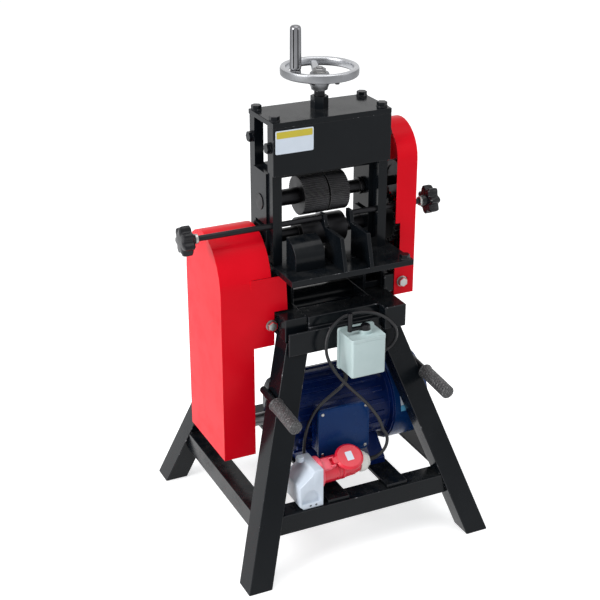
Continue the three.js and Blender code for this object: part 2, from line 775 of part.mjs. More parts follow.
function upperShaft() {
  const [big, core, stub] = [shaftDiameter / 2, rollerBore / 2, stubDiameter / 2];
  const collarEnd = blockMiddle - blockThickness / 2 - shaftStandOut;
  const collarStart = collarEnd - stopCollarWidth;
  const shaft = turnedX([[shaftLeftEnd, 0], [shaftLeftEnd, big], [rollersLeft - gap, big], [rollersLeft - gap, core],
    [rollersRight + gap, core], [rollersRight + gap, stub], [collarStart, stub],
    [collarStart, stub + stopCollarRise], [collarEnd, stub + stopCollarRise], [collarEnd, stub],
    [shaftStep, stub], [shaftStep, stub - seatStep], [shaftEnd, stub - seatStep], [shaftEnd, 0]], 16);
  return join(shaft, sprocket(upperSprocketTeeth, chainPlane));
}

piece('upper_shaft', upperShaft(), paint.steel, 0, 0, upperAxis);

// Spur gear outline with flat tips, thinned a little so that the pair runs with backlash
const toothTipShare = 0.85;
const toothRootShare = 1.2;
const toothWidthShares = [0.3, 0.12];

function gearOutline(teeth, turn) {
  const pitchRadius = gearModule * teeth / 2;
  const tip = pitchRadius + gearModule * toothTipShare;
  const root = pitchRadius - gearModule * toothRootShare;
  const [wide, narrow] = toothWidthShares;
  const step = 2 * Math.PI / teeth;
  const points = [];
  for (let i = 0; i < teeth; i += 1) {
    const middle = turn + i * step;
    for (const [share, radius] of [[-wide, root], [-narrow, tip], [narrow, tip], [wide, root]]) {
      points.push([radius * Math.cos(middle + share * step), radius * Math.sin(middle + share * step)]);
    }
  }
  return polygon(points);
}

// The line of centres leans by gearLean; one gear shows a tooth on it, the other a space
const meshAngle = -Math.PI / 2 + gearLean;
const gearStep = 2 * Math.PI / gearTeeth;

const bladeX = grooveLeft + rollerGroove / 2;
const supportRadius = supportDiameter / 2;

function bladeShaft() {
  const stub = stubDiameter / 2;
  const [bladeLeft, bladeRight] = [bladeX - bladeThickness / 2 - gap, bladeX + bladeThickness / 2 + gap];
  const gearEnd = gearPlane + gearWidth / 2 + seat;
  const shaft = turnedX([[shaftLeftEnd, 0], [shaftLeftEnd, stub], [rollersLeft, stub], [rollersLeft, supportRadius],
    [bladeLeft, supportRadius], [bladeLeft, stub - gap], [bladeRight, stub - gap], [bladeRight, supportRadius],
    [rollersRight, supportRadius], [rollersRight, stub], [shaftStep, stub], [shaftStep, stub - seatStep],
    [gearEnd, stub - seatStep], [gearEnd, 0]], 20);
  return join(shaft, sideSlab(gearOutline(gearTeeth, meshAngle), gearWidth, gearPlane - gearWidth / 2));
}

const bladeBevel = 5;

function cuttingBlade() {
  const [edge, bevel, bore] = [bladeDiameter / 2, bladeDiameter / 2 - bladeBevel, stubDiameter / 2];
  const half = bladeThickness / 2;
  return turnedX([[-half, bore], [-half, bevel], [0, edge], [half, bevel], [half, bore], [-half, bore]], 32);
}

piece('blade_shaft', bladeShaft(), paint.steel, 0, 0, lowerAxis);
piece('cutting_blade', cuttingBlade(), paint.chrome, bladeX, 0, lowerAxis);

// Jackshaft with its gear, sprocket and belt pulley
const pulleyMiddle = -beltGuardInner - beltGuardWidth / 2;
const pulleyStandOut = 4;
const jackLeft = pulleyMiddle - pulleyWidth / 2 - pulleyStandOut;

function jackShaft() {
  const shaft = rod(jackDiameter, jackLeft, shaftEnd, 16);
  const gear = sideSlab(gearOutline(gearTeeth, meshAngle + Math.PI + gearStep / 2), gearWidth,
    gearPlane - gearWidth / 2);
  return join(shaft, gear, sprocket(jackSprocketTeeth, chainPlane));
}

piece('jackshaft', jackShaft(), paint.steel, 0, jackY, jackAxis);

const grooveWidth = beltWidth + 2 * runningGap;
const grooveFlare = 1;
const webMargin = 8;
const webHub = 14;
const webHoleShare = 0.88;
const groovePitch = pulleyWidth / beltCount;

function pulley(diameter, bore, sides) {
  const rim = diameter / 2;
  const root = rim - beltHeight;
  const profile = [[-pulleyWidth / 2, bore / 2], [-pulleyWidth / 2, rim]];
  for (let i = 0; i < beltCount; i += 1) {
    const middle = (i - (beltCount - 1) / 2) * groovePitch;
    profile.push([middle - grooveWidth / 2 - grooveFlare, rim], [middle - grooveWidth / 2, root],
      [middle + grooveWidth / 2, root], [middle + grooveWidth / 2 + grooveFlare, rim]);
  }
  profile.push([pulleyWidth / 2, rim], [pulleyWidth / 2, bore / 2], [-pulleyWidth / 2, bore / 2]);
  return turnedX(profile, sides);
}

function bigPulley() {
  const [inner, outer] = [jackDiameter / 2 + webHub, bigPulleyDiameter / 2 - beltHeight - webMargin];
  const middle = (inner + outer) / 2;
  const holes = Array.from({ length: 5 }, (_, i) => {
    const turn = 2 * Math.PI * i / 5;
    return rod((outer - inner) * webHoleShare, -pulleyWidth, pulleyWidth, 8)
      .translate(0, middle * Math.cos(turn), middle * Math.sin(turn));
  });
  return cut(pulley(bigPulleyDiameter, jackDiameter + 2 * gap, 24), ...holes);
}

piece('jackshaft_pulley', bigPulley(), paint.steel, pulleyMiddle, jackY, jackAxis);

// A flat closed loop round two wheels in the Y-Z plane, given its thickness along X
function loopOutline(path, a, b) {
  const along = Math.atan2(b.z - a.z, b.y - a.y);
  const apart = Math.hypot(b.y - a.y, b.z - a.z);
  const lean = Math.acos((a.r - b.r) / apart);
  path.absarc(a.y, a.z, a.r, along + lean, along - lean + 2 * Math.PI, false);
  path.absarc(b.y, b.z, b.r, along - lean, along + lean, false);
  path.closePath();
  return path;
}

function loop(a, b, height, thickness, x) {
  const grow = (circle, by) => ({ ...circle, r: circle.r + by });
  const outline = loopOutline(new THREE.Shape(), grow(a, height), grow(b, height));
  outline.holes.push(loopOutline(new THREE.Path(), a, b));
  return sideSlab(outline, thickness, x - thickness / 2, 6);
}

const beltTop = { y: jackY, z: jackAxis, r: bigPulleyDiameter / 2 - beltHeight + runningGap };
const beltFoot = { y: motorAxisY, z: motorAxis, r: motorPulleyDiameter / 2 - beltHeight + runningGap };
for (let i = 0; i < beltCount; i += 1) {
  const x = pulleyMiddle + (i - (beltCount - 1) / 2) * groovePitch;
  piece(`drive_belt_${i + 1}`, loop(beltTop, beltFoot, beltHeight, beltWidth, x), paint.rubber);
}

// Chain: two rows of link plates beside the sprockets, tied by pins on the straight runs
const linkPlate = 2.2;
const chainHalfHeight = 5.5;
const chainTop = { y: 0, z: upperAxis, r: sprocketRadius(upperSprocketTeeth) - chainHalfHeight };
const chainFoot = { y: jackY, z: jackAxis, r: sprocketRadius(jackSprocketTeeth) - chainHalfHeight };

function driveChain() {
  const offset = sprocketWidth / 2 + gap + linkPlate / 2;
  const rows = [-offset, offset].map((x) => loop(chainTop, chainFoot, 2 * chainHalfHeight, linkPlate, chainPlane + x));
  const apart = Math.hypot(chainFoot.y - chainTop.y, chainFoot.z - chainTop.z);
  const along = Math.atan2(chainFoot.z - chainTop.z, chainFoot.y - chainTop.y);
  const lean = Math.acos((chainTop.r - chainFoot.r) / apart);
  const pins = [];
  for (const side of [-1, 1]) {
    const turn = along + side * lean;
    const reach = (circle) => [circle.y + (circle.r + chainHalfHeight) * Math.cos(turn),
      circle.z + (circle.r + chainHalfHeight) * Math.sin(turn)];
    const [y0, z0] = reach(chainTop);
    const [y1, z1] = reach(chainFoot);
    const run = Math.hypot(y1 - y0, z1 - z0);
    const count = Math.floor(run / chainPitch) - 3;
    for (let i = 0; i < count; i += 2) {
      const share = (i + 2) * chainPitch / run;
      pins.push(rod(chainHalfHeight, chainPlane - offset, chainPlane + offset, 6)
        .translate(0, y0 + (y1 - y0) * share, z0 + (z1 - z0) * share));
    }
  }
  return join(...rows, ...pins);
}

piece('drive_chain', driveChain(), paint.steel);

// Cable guides with their adjusting screws and star knobs
const guideFront = -basePlateFront - 2;
const guideBack = -62;
const guideBackDrop = 12;
const guideFrontSlope = 20;
const lugShare = 0.75;

function guidePlate() {
  const foot = gap;
  const top = guideHeight;
  const lug = guideScrewDiameter * lugShare;
  const lugFront = -guideScrewFront - lug;
  const lugBack = -guideScrewFront + lug;
  const outline = polygon([[guideFront, foot], [guideBack, foot], [guideBack, top - guideBackDrop],
    [lugBack, guideScrewHeight - lug], [lugBack, guideScrewHeight + lug], [lugFront, guideScrewHeight + lug],
    [guideBack, top], [guideFront + guideFrontSlope, top]]);
  return sideSlab(outline, guideThickness);
}

const knobLobeShare = 0.13;

function starKnob() {
  const outline = new THREE.Shape();
  const steps = knobLobes * 6;
  for (let i = 0; i <= steps; i += 1) {
    const turn = 2 * Math.PI * i / steps;
    const r = knobDiameter / 2 * (1 - knobLobeShare + knobLobeShare * Math.cos(knobLobes * turn));
    if (i === 0) outline.moveTo(r, 0);
    else outline.lineTo(r * Math.cos(turn), r * Math.sin(turn));
  }
  return outline;
}

const guideFaces = [guideCentre - guideGap / 2, guideCentre + guideGap / 2];
const screwRadius = guideScrewDiameter / 2;
const collarLength = 12;
const collarRises = [5, 3];

function guideScrew(length) {
  return turnedX([[0, 0], [0, screwRadius], [length, screwRadius], [length, 0]], 20);
}

function knob() {
  const half = knobThickness / 2;
  const star = sideSlab(starKnob(), knobThickness, -half);
  const [near, far] = [half - seat, half + collarLength];
  const collar = turnedX([[near, 0], [near, screwRadius + collarRises[0]], [far, screwRadius + collarRises[1]],
    [far, 0]], 20);
  return join(star, collar);
}

const leftScrewEnd = guideFaces[0] - guideThickness - gap;
const rightScrewStart = guideFaces[1] + guideThickness + gap;

piece('guide_left', guidePlate(), paint.black, guideFaces[0] - guideThickness, 0, table);
piece('guide_right', guidePlate(), paint.black, guideFaces[1], 0, table);

// Each star knob is moulded on its screw, so the two are one piece
piece('guide_screw_left', join(knob(), guideScrew(leftScrewEnd + leftKnobReach)), paint.rubber,
  -leftKnobReach, -guideScrewFront, screwHeight);
const rightScrew = piece('guide_screw_right', join(knob(), guideScrew(rightKnobReach - rightScrewStart)),
  paint.rubber, rightKnobReach, -guideScrewFront, screwHeight);
rightScrew.rotation.z = Math.PI;

// Guards: folded sheet shells, open towards the machine
function archOutline(front, back, bottom, top, inset) {
  const radius = (back - front) / 2 - inset;
  const middle = (front + back) / 2;
  const spring = top - (back - front) / 2;
  const outline = new THREE.Shape();
  outline.moveTo(front + inset, bottom + inset);
  outline.lineTo(back - inset, bottom + inset);
  outline.lineTo(back - inset, spring);
  outline.absarc(middle, spring, radius, 0, Math.PI, false);
  outline.lineTo(front + inset, bottom + inset);
  return outline;
}

const flapLean = 3;
const flapSlotReach = 14;

function beltGuard() {
  const [front, back] = [-beltGuardFront, beltGuardDepth - beltGuardFront];
  const outerX = -beltGuardInner - beltGuardWidth;
  const shell = sideSlab(archOutline(front, back, beltGuardBottom, beltGuardTop, 0), beltGuardWidth, outerX);
  const inside = sideSlab(archOutline(front, back, beltGuardBottom, beltGuardTop, guardWall),
    beltGuardWidth + overrun, outerX + guardWall);
  const left = -beltGuardInner - overrun;
  const flap = polygon([[left, flapBottom], [-beltGuardInner + lowerFlapWidth, flapBottom],
    [-beltGuardInner + lowerFlapWidth, flapStep], [-beltGuardInner + flapWidth, flapStep],
    [-beltGuardInner + flapWidth - flapLean, flapTop], [left, flapTop]]);
  const slot = new THREE.Path();
  const slotRadius = boltDiameter / 2 + runningGap;
  slot.absarc(flapBoltX, flapBoltHeight, slotRadius, -Math.PI / 2, Math.PI / 2, true);
  slot.absarc(flapBoltX - flapSlotReach, flapBoltHeight, slotRadius, Math.PI / 2, 3 * Math.PI / 2, true);
  flap.holes.push(slot);
  const holdDown = bolt(flapBoltX, -beltGuardFront, flapBoltHeight, forwards);
  return join(cut(shell, inside), frontSlab(flap, guardWall, guardFaceBack), holdDown);
}

const knobHolePlay = 8;
const knobHole = guideScrewDiameter + knobHolePlay;
const notchFoot = basePlateBottom - 16;
const notchTop = table + 48;

function chainGuard() {
  const [front, back] = [-chainGuardFront, chainGuardDepth - chainGuardFront];
  const outline = archOutline(front, back, chainGuardBottom, chainGuardTop, 0);
  const shell = sideSlab(outline, chainGuardWidth, chainGuardInner);
  const inside = sideSlab(archOutline(front, back, chainGuardBottom, chainGuardTop, guardWall),
    chainGuardWidth + overrun, chainGuardInner - overrun - guardWall);
  const hole = rod(knobHole, chainGuardInner, chainGuardInner + chainGuardWidth + overrun, 20)
    .translate(0, -guideScrewFront, screwHeight);
  const notch = bar([chainGuardInner - overrun, chainGuardInner + chainGuardNotch],
    [front - overrun, front + overrun], [notchFoot, notchTop]);
  const slotRadius = boltDiameter / 2 + runningGap;
  const slot = bar([chainBoltX - slotRadius, chainBoltX + flapSlotReach], [front - overrun, front + overrun],
    [chainBoltHeight - slotRadius, chainBoltHeight + slotRadius]);
  return join(cut(shell, inside, hole, notch, slot),
    bolt(chainBoltX, -chainGuardFront, chainBoltHeight, forwards));
}

piece('belt_guard', beltGuard(), paint.red);
piece('chain_guard', chainGuard(), paint.red);

// Motor: finned body with feet, fan cowl, terminal box and rotor
const motorBodyRight = motorBodyLeft + motorBodyLength;
const cowlSeat = 10;
const terminalLeft = -72;
const finShares = [0.26, 0.16];
const shieldLength = 26;
const shieldLip = 2;
const bearingCapDepth = 10;
const bearingCapShares = [0.45, 0.5];
const shieldStep = 14;
const shieldShares = [0.93, 0.96];
const footLength = 34;
const footThickness = 13;
const footReachShare = 0.62;
const footNeckShares = [0.7, 0.55];
const padMargin = 12;
const padDepth = 4;
const padHeightShare = 0.38;

function motorBody() {
  const tip = motorBodyDiameter / 2;
  const root = tip - finHeight;
  const [wide, narrow] = finShares;
  const points = [];
  const step = 2 * Math.PI / finCount;
  for (let i = 0; i < finCount; i += 1) {
    for (const [share, radius] of [[-wide, root], [-narrow, tip], [narrow, tip], [wide, root]]) {
      const turn = (i + share) * step;
      points.push([radius * Math.cos(turn), radius * Math.sin(turn)]);
    }
  }
  const frame = sideSlab(polygon(points), motorBodyLength - 2 * shieldLength, motorBodyLeft + shieldLength);
  const [capFront, capBack] = bearingCapShares.map((share) => tip * share);
  const [face, seatRadius] = shieldShares.map((share) => tip * share);
  const cowlFit = cowlDiameter / 2 - cowlWall - gap;
  const shields = turnedX([[motorBodyLeft, 0], [motorBodyLeft, capFront], [motorBodyLeft + bearingCapDepth, capBack],
    [motorBodyLeft + shieldStep, face], [motorBodyLeft + shieldLength + shieldLip, seatRadius],
    [motorBodyRight - cowlSeat - shieldLip, seatRadius], [motorBodyRight - cowlSeat, cowlFit],
    [motorBodyRight, cowlFit], [motorBodyRight, 0]], 24);
  const footHalf = motorBodyDiameter * footReachShare;
  const foot = -motorShaftHeight + gap;
  const [neckOut, neckUp] = [root * footNeckShares[0], -root * footNeckShares[1]];
  const feet = footXs.map((x) => {
    const outline = polygon([[-footHalf, foot], [footHalf, foot], [footHalf, foot + footThickness],
      [neckOut, neckUp], [-neckOut, neckUp], [-footHalf, foot + footThickness]]);
    return sideSlab(outline, footLength, x - footLength / 2);
  });
  const padHalf = terminalHeight * padHeightShare;
  const pad = bar([terminalLeft + padMargin, terminalLeft + terminalWidth - padMargin],
    [-tip - padDepth, -root + padMargin], [-padHalf, padHalf]);
  return cut(join(frame, shields, pad, ...feet), rod(motorShaftDiameter + 2 * gap, motorBodyLeft - overrun,
    motorBodyRight + overrun, 24));
}

const terminalY = motorAxisY - motorBodyDiameter / 2 - padDepth - gap;
const terminalFoot = motorAxis + terminalRise - terminalHeight / 2;
const glandX = -36;
const glandY = -144;
const terminalCorner = 8;
const terminalLidDepth = 9;
const terminalLidLip = 3;
const largeGland = { diameter: 24, length: 14 };
const smallGland = { diameter: 18, length: 10 };

function terminalBox() {
  const [w, h, r, lip] = [terminalWidth, terminalHeight, terminalCorner, terminalLidLip];
  const outline = new THREE.Shape();
  outline.absarc(r, r, r, Math.PI, 1.5 * Math.PI, false);
  outline.absarc(w - r, r, r, 1.5 * Math.PI, 2 * Math.PI, false);
  outline.absarc(w - r, h - r, r, 0, 0.5 * Math.PI, false);
  outline.absarc(r, h - r, r, 0.5 * Math.PI, Math.PI, false);
  const base = frontSlab(outline, terminalDepth - terminalLidDepth + seat, 0, 2);
  const lid = frontSlab(outline, terminalLidDepth, 0, 2).scale((w + 2 * lip) / w, 1, (h + 2 * lip) / h)
    .translate(-lip, -terminalDepth + terminalLidDepth, -lip);
  const gland = post(largeGland.diameter, -largeGland.length, seat, 12)
    .translate(glandX - terminalLeft, glandY - terminalY, 0);
  return join(base, lid, gland);
}

piece('motor_body', motorBody(), paint.blue, 0, motorAxisY, motorAxis);
piece('terminal_box', terminalBox(), paint.blue, terminalLeft, terminalY, terminalFoot);

const cowlRounds = [14, 4];
const cowlRoundDrops = [6, 16];
const cowlRingShares = [0.36, 0.56, 0.76];
const cowlSlotWidth = 6;
const cowlSlotStart = 0.12;
const cowlSlotTurn = 1.3;

function fanCowl() {
  const [outer, length] = [cowlDiameter / 2, cowlLength];
  const inner = outer - cowlWall;
  const [far, near] = cowlRounds;
  const [drop, flat] = cowlRoundDrops;
  const cup = turnedX([[0, inner], [0, outer], [length - far, outer], [length - near, outer - drop],
    [length, outer - flat], [length, 0], [length - cowlWall, 0], [length - cowlWall, outer - flat - cowlWall],
    [length - near - cowlWall, inner - drop], [length - far - cowlWall, inner], [0, inner]], 24);
  const slots = [];
  for (const share of cowlRingShares) {
    for (let i = 0; i < 4; i += 1) {
      const slot = new THREE.Shape();
      const middle = outer * share;
      const start = i * Math.PI / 2 + cowlSlotStart;
      slot.absarc(0, 0, middle + cowlSlotWidth / 2, start, start + cowlSlotTurn, false);
      slot.absarc(0, 0, middle - cowlSlotWidth / 2, start + cowlSlotTurn, start, true);
      slots.push(sideSlab(slot, 3 * overrun, length - 2 * overrun, 2));
    }
  }
  return cut(cup, ...slots);
}

const cowlStart = motorBodyRight - cowlSeat + cowlRounds[1];
piece('fan_cowl', fanCowl(), paint.blue, cowlStart, motorAxisY, motorAxis);

const fanWidth = 34;
const fanPlate = 3;
const fanBlade = 3;
const fanStandOff = 14;
const fanHubShare = 1.7;
const fanShares = [0.8, 0.78];
const shaftSetBack = 16;

function motorRotor() {
  const shaftLeft = pulleyMiddle - pulleyWidth / 2 - pulleyStandOut;
  const shaft = rod(motorShaftDiameter, shaftLeft, motorBodyRight + cowlLength - shaftSetBack, 16);
  const fanStart = motorBodyRight + fanStandOff;
  const hub = rod(motorShaftDiameter * fanHubShare, fanStart, fanStart + fanWidth, 12);
  const plate = rod(cowlDiameter * fanShares[0], fanStart, fanStart + fanPlate, 20);
  const blades = Array.from({ length: 6 }, (_, i) => bar([fanStart, fanStart + fanWidth],
    [-fanBlade / 2, fanBlade / 2], [motorShaftDiameter / 2, cowlDiameter * fanShares[1] / 2])
    .rotateX(i * Math.PI / 3));
  const beltWheel = pulley(motorPulleyDiameter, motorShaftDiameter - seat, 20).translate(pulleyMiddle, 0, 0);
  return join(shaft, hub, plate, beltWheel, ...blades);
}

piece('motor_rotor', motorRotor(), paint.steel, 0, motorAxisY, motorAxis);

// Switch box on the apron, with its rotary lever on top
const switchBottom = 410;
const switchPlate = 6;
const switchPlateMargins = [3, 4];
const switchNeck = { diameter: 26, height: 6 };
const leverShares = [0.58, 0.52];
const sideGlandDrop = 22;
const glandSetBack = 14;
const footGlandInset = 12;
const switchBack = apronFront - gap;
const leverX = switchLeft + switchWidth * leverShares[0];
const leverY = switchBack - switchDepth * leverShares[1];
const switchTop = switchBottom + switchHeight;
const sideGlandReach = 7;
const switchRight = switchLeft + switchWidth + sideGlandReach;
const switchGlandY = switchBack - glandSetBack;
const switchGlandZ = switchBottom + sideGlandDrop;
const footGlandX = switchLeft + footGlandInset;

function switchBox() {
  const [sideMargin, endMargin] = switchPlateMargins;
  const body = bar([0, switchWidth], [-switchDepth, -switchPlate], [0, switchHeight]);
  const back = bar([-sideMargin, switchWidth + sideMargin], [-switchPlate - seat, 0],
    [-endMargin, switchHeight + endMargin]);
  const neck = post(switchNeck.diameter, switchHeight - seat, switchHeight + switchNeck.height, 20)
    .translate(leverX - switchLeft, leverY - switchBack, 0);
  const sideGland = rod(smallGland.diameter, switchWidth - seat, switchWidth + sideGlandReach, 12)
    .translate(0, -glandSetBack, sideGlandDrop);
  const footGland = post(smallGland.diameter, -smallGland.length, seat, 12)
    .translate(footGlandInset, -glandSetBack, 0);
  return join(body, back, neck, sideGland, footGland);
}

const leverDisc = { radius: 11, roof: 8, height: 11, bevel: 2 };
const leverArm = { reach: 38, width: 8, foot: 2, top: 8 };
const leverGrip = { reach: 36, diameter: 10, height: 42 };

function switchLever() {
  const { radius, roof, height, bevel } = leverDisc;
  const disc = turnedZ([[0, 0], [0, radius], [height - bevel, radius - seat], [height, roof], [height, 0]], 16);
  const arm = bar([-leverArm.reach, 0], [-leverArm.width / 2, leverArm.width / 2], [leverArm.foot, leverArm.top]);
  const grip = post(leverGrip.diameter, seat, leverGrip.height, 12).translate(-leverGrip.reach, 0, 0);
  return join(disc, arm, grip);
}

piece('switch_box', switchBox(), paint.white, switchLeft, switchBack, switchBottom);
piece('switch_lever', switchLever(), paint.rubber, leverX, leverY, switchTop + switchNeck.height + gap);

// Supply socket box on the front rail, plug barrel, lid and cable nut
const socketRight = -95;
const socketFrontInset = 4;
const socketHeightShare = 0.68;
const socketFront = -legOuterY(railTop) + socketFrontInset;
const socketBack = socketFront + socketBoxDepth;
const plugY = (socketFront + socketBack) / 2;
const plugZ = railTop + socketBoxHeight * socketHeightShare;
const barrelLength = 38;
const plugLength = 55;
const nutLength = 25;
const flangeShare = 0.9;
const flangeWidth = 7;
const flangeSeat = 6;
const boxGlandShares = [0.55, 0.2];
const hingeShare = 0.72;
const blockShares = [0.05, 0.55];
const blockHalf = 9;
const earShares = [0.5, 0.8];
const earInside = 7.5;
const earWidth = 4;
const earRise = 4;
const hingeFootShare = 0.8;
const lidTurn = THREE.MathUtils.degToRad(31);
const lidLean = THREE.MathUtils.degToRad(5);
const lidStandOff = 2;
const lidRadial = plugDiameter / 2 + lidStandOff;

function socketBox() {
  const top = railTop + socketBoxHeight - plugZ;
  const body = bar([-socketBoxWidth, 0], [-socketBoxDepth / 2, socketBoxDepth / 2], [railTop + gap - plugZ, top]);
  const flange = rod(socketBoxDepth * flangeShare, -seat, flangeWidth, 32);
  const gland = post(smallGland.diameter, top - seat, top + smallGland.length, 12)
    .translate(-socketBoxWidth * boxGlandShares[0], socketBoxDepth * boxGlandShares[1], 0);
  return join(body, flange, gland, socketBarrel());
}

// The red socket housing with the hinge block and ears of its lid
function socketBarrel() {
  const r = plugDiameter / 2;
  const foot = r * hingeFootShare;
  const along = (shares) => shares.map((share) => barrelLength * share);
  const body = turnedX([[0, 0], [0, r], [barrelLength, r], [barrelLength, 0]], 28);
  const block = bar(along(blockShares), [-blockHalf, blockHalf], [foot, lidRadial - gap]);
  const ears = [earInside, -earInside - earWidth].map((y) => bar(along(earShares), [y, y + earWidth],
    [foot, lidRadial + earRise]));
  return join(body, block, ...ears).rotateX(lidTurn).translate(flangeSeat, 0, 0);
}

// The plug: a ribbed body that tapers to its cable nut
const plugRims = [[0, 5], [10, 15]];
const plugWaistShares = [0.93, 0.9];
const plugTailShares = [0.78, 0.7];
const plugTail = 4;
const ribStart = 14;
const ribEnd = 12;
const ribWidth = 3;
const ribShares = [0.6, 0.94];
const nutShare = 0.84;
const nutLengthShares = [0.6, 0.75];
const nutRoundShares = [0.8, 0.6];

function supplyPlug() {
  const r = plugDiameter / 2;
  const [waist, behind] = plugWaistShares.map((share) => r * share);
  const [tail, neck] = plugTailShares.map((share) => r * share);
  const [[, first], [second, last]] = plugRims;
  const end = plugLength - plugTail;
  const body = turnedX([[0, 0], [0, r], [first, r], [first + seat, waist], [second - seat, waist], [second, r],
    [last, r], [last + seat, behind], [end, tail], [end, neck], [plugLength, neck], [plugLength, 0]], 16);
  const ribs = Array.from({ length: 8 }, (_, i) => bar([ribStart, plugLength - ribEnd],
    [-ribWidth / 2, ribWidth / 2], ribShares.map((share) => r * share)).rotateX(i * Math.PI / 4));
  const nut = r * nutShare;
  const cap = turnedX([[0, 0], [0, nut], [nutLength * nutLengthShares[0], nut],
    [nutLength * nutLengthShares[1], nut * nutRoundShares[0]], [nutLength, nut * nutRoundShares[1]],
    [nutLength, 0]], 12).translate(plugLength - seat, 0, 0);
  return join(body, ...ribs, cap);
}

const lidReach = 5;
const lidRim = 3;
const lidRise = 7;
const lidRoofShare = 0.85;
const tabHalf = 7;
const tabTail = 1.5;
const tabHeight = 6;

function socketLid() {
  const r = lidDiameter / 2;
  const disc = turnedZ([[0, 0], [0, r], [lidRim, r], [lidRise, r * lidRoofShare], [lidRise, 0]], 24)
    .translate(r + lidReach, 0, 0);
  const tab = bar([-tabTail, r], [-tabHalf, tabHalf], [0, tabHeight]);
  return join(disc, tab);
}

const barrelStart = socketRight + flangeSeat;
const plugStart = barrelStart + barrelLength + gap;
const plugEnd = plugStart + plugLength - seat + nutLength;
const hingeX = barrelStart + barrelLength * hingeShare;

piece('supply_socket', socketBox(), paint.white, socketRight, plugY, plugZ);
piece('supply_plug', supplyPlug(), paint.plugRed, plugStart, plugY, plugZ);
const lidFrame = new THREE.Group();
lidFrame.position.set(hingeX, plugY, plugZ);
lidFrame.rotation.x = lidTurn;
machine.add(lidFrame);
const lid = piece('socket_lid', socketLid(), paint.plugRed, 0, 0, lidRadial);
lid.rotation.y = -lidLean;
lidFrame.add(lid);

// Cables: the supply lead from the plug to the switch, and the lead from the switch to the motor
function cableTube(route) {
  const points = route.map(([x, y, z]) => new THREE.Vector3(x, y, z));
  const curve = new THREE.CatmullRomCurve3(points, false, 'centripetal');
  const section = new THREE.Shape();
  section.absarc(0, 0, cableDiameter / 2, 0, 2 * Math.PI, false);
  const ring = new THREE.Shape(section.getPoints(cableSides / 2).slice(0, -1));
  const steps = Math.round(curve.getLength() / (cableStepShare * cableDiameter));
  return new THREE.ExtrudeGeometry(ring, { steps, extrudePath: curve, bevelEnabled: false });
}

// Each lead leaves its gland straight, and turns no tighter than about four times its thickness
const supplyRoute = [[plugEnd + gap, plugY, plugZ], [45.1, -186.4, 200.6], [60.1, -186.4, 207.2],
  [70.8, -186.4, 219.1], [75, -186.4, 235], [72.1, -186.7, 251.2], [63.4, -187.3, 265.1], [58, -187.8, 280.7],
  [51.1, -188.1, 295.7], [42.5, -188, 309.7], [33.3, -188, 323.3], [23.4, -188.1, 336.5],
  [12.9, -187.8, 349.2], [1.8, -187.2, 361.4], [-9.2, -186.1, 373.6], [-20.1, -184.3, 385.9],
  [-30.4, -181.9, 398.5], [-40, -178.6, 411.5], [-48.5, -174.8, 425.1], [-55.4, -171, 439.6],
  [-60.4, -167.1, 454.8], [-61.4, -162.8, 470.7], [-58.6, -158.4, 486.3], [-51.8, -154.7, 500.9],
  [-41.5, -151.7, 513.3], [-27.8, -149.2, 522.3], [-12.5, -147.8, 528.3], [3.7, -147.7, 531.2],
  [20.2, -148.6, 531.8], [36.5, -150.3, 530], [52.4, -152.1, 525.9], [67.4, -153.8, 519.2],
  [81.1, -154.8, 510], [93, -155.4, 498.5], [102.9, -155.4, 485.3], [107.8, -154.3, 469.5],
  [105.5, -152.6, 453.2], [96.2, -150.9, 439.7], [82, -149.7, 432.6],
  [switchRight + gap, switchGlandY, switchGlandZ]];
const motorRoute = [[footGlandX, switchGlandY, switchBottom - smallGland.length - gap], [-8.2, -149.7, 387.1],
  [-12.6, -149.6, 375.4], [-21.1, -149.5, 366.1], [-31.6, -149.3, 359.2], [-42.3, -149.1, 352.4],
  [-52.8, -148.8, 345.6], [-62.8, -148.3, 337.8], [-71.9, -147.8, 329.2], [-79.7, -147.3, 319.4],
  [-86.2, -146.8, 308.6], [-91.5, -146.4, 297.2], [-95.5, -145.9, 285.3], [-98.4, -145.5, 273.1],
  [-100.5, -145.1, 260.7], [-101.7, -144.7, 248.2], [-102.4, -144.4, 235.7], [-102.5, -144.3, 223.1],
  [-102.5, -144.1, 210.6], [-102.5, -144.1, 198], [-102.9, -144, 185.4], [-99.3, -144, 173.4],
  [-91.6, -144, 163.5], [-80.9, -144, 157.1], [-68.5, -144, 155], [-56.3, -144, 157.6], [-45.9, -144, 164.6],
  [-38.5, -144, 174.9], [-35.4, -144, 187.1], [glandX, glandY, terminalFoot - largeGland.length - gap]];
piece('supply_cable', cableTube(supplyRoute), paint.rubber);
piece('motor_cable', cableTube(motorRoute), paint.rubber);

// The origin lies on the floor, in the middle of everything but the cables and their plug
const loose = ['supply_cable', 'motor_cable', 'supply_plug'];
const bounds = new THREE.Box3();
machine.updateMatrixWorld(true);
machine.traverse((mesh) => {
  if (mesh.isMesh && !loose.includes(mesh.name)) bounds.expandByObject(mesh, true);
});
const middle = bounds.getCenter(new THREE.Vector3());
machine.position.set(-middle.x, -middle.y, -bounds.min.z);

export default machine;
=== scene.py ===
"""The finished look of a wire stripping machine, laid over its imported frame. Metres, Z up."""
import json
import math

import bmesh
import bpy
from mathutils import Matrix, Vector

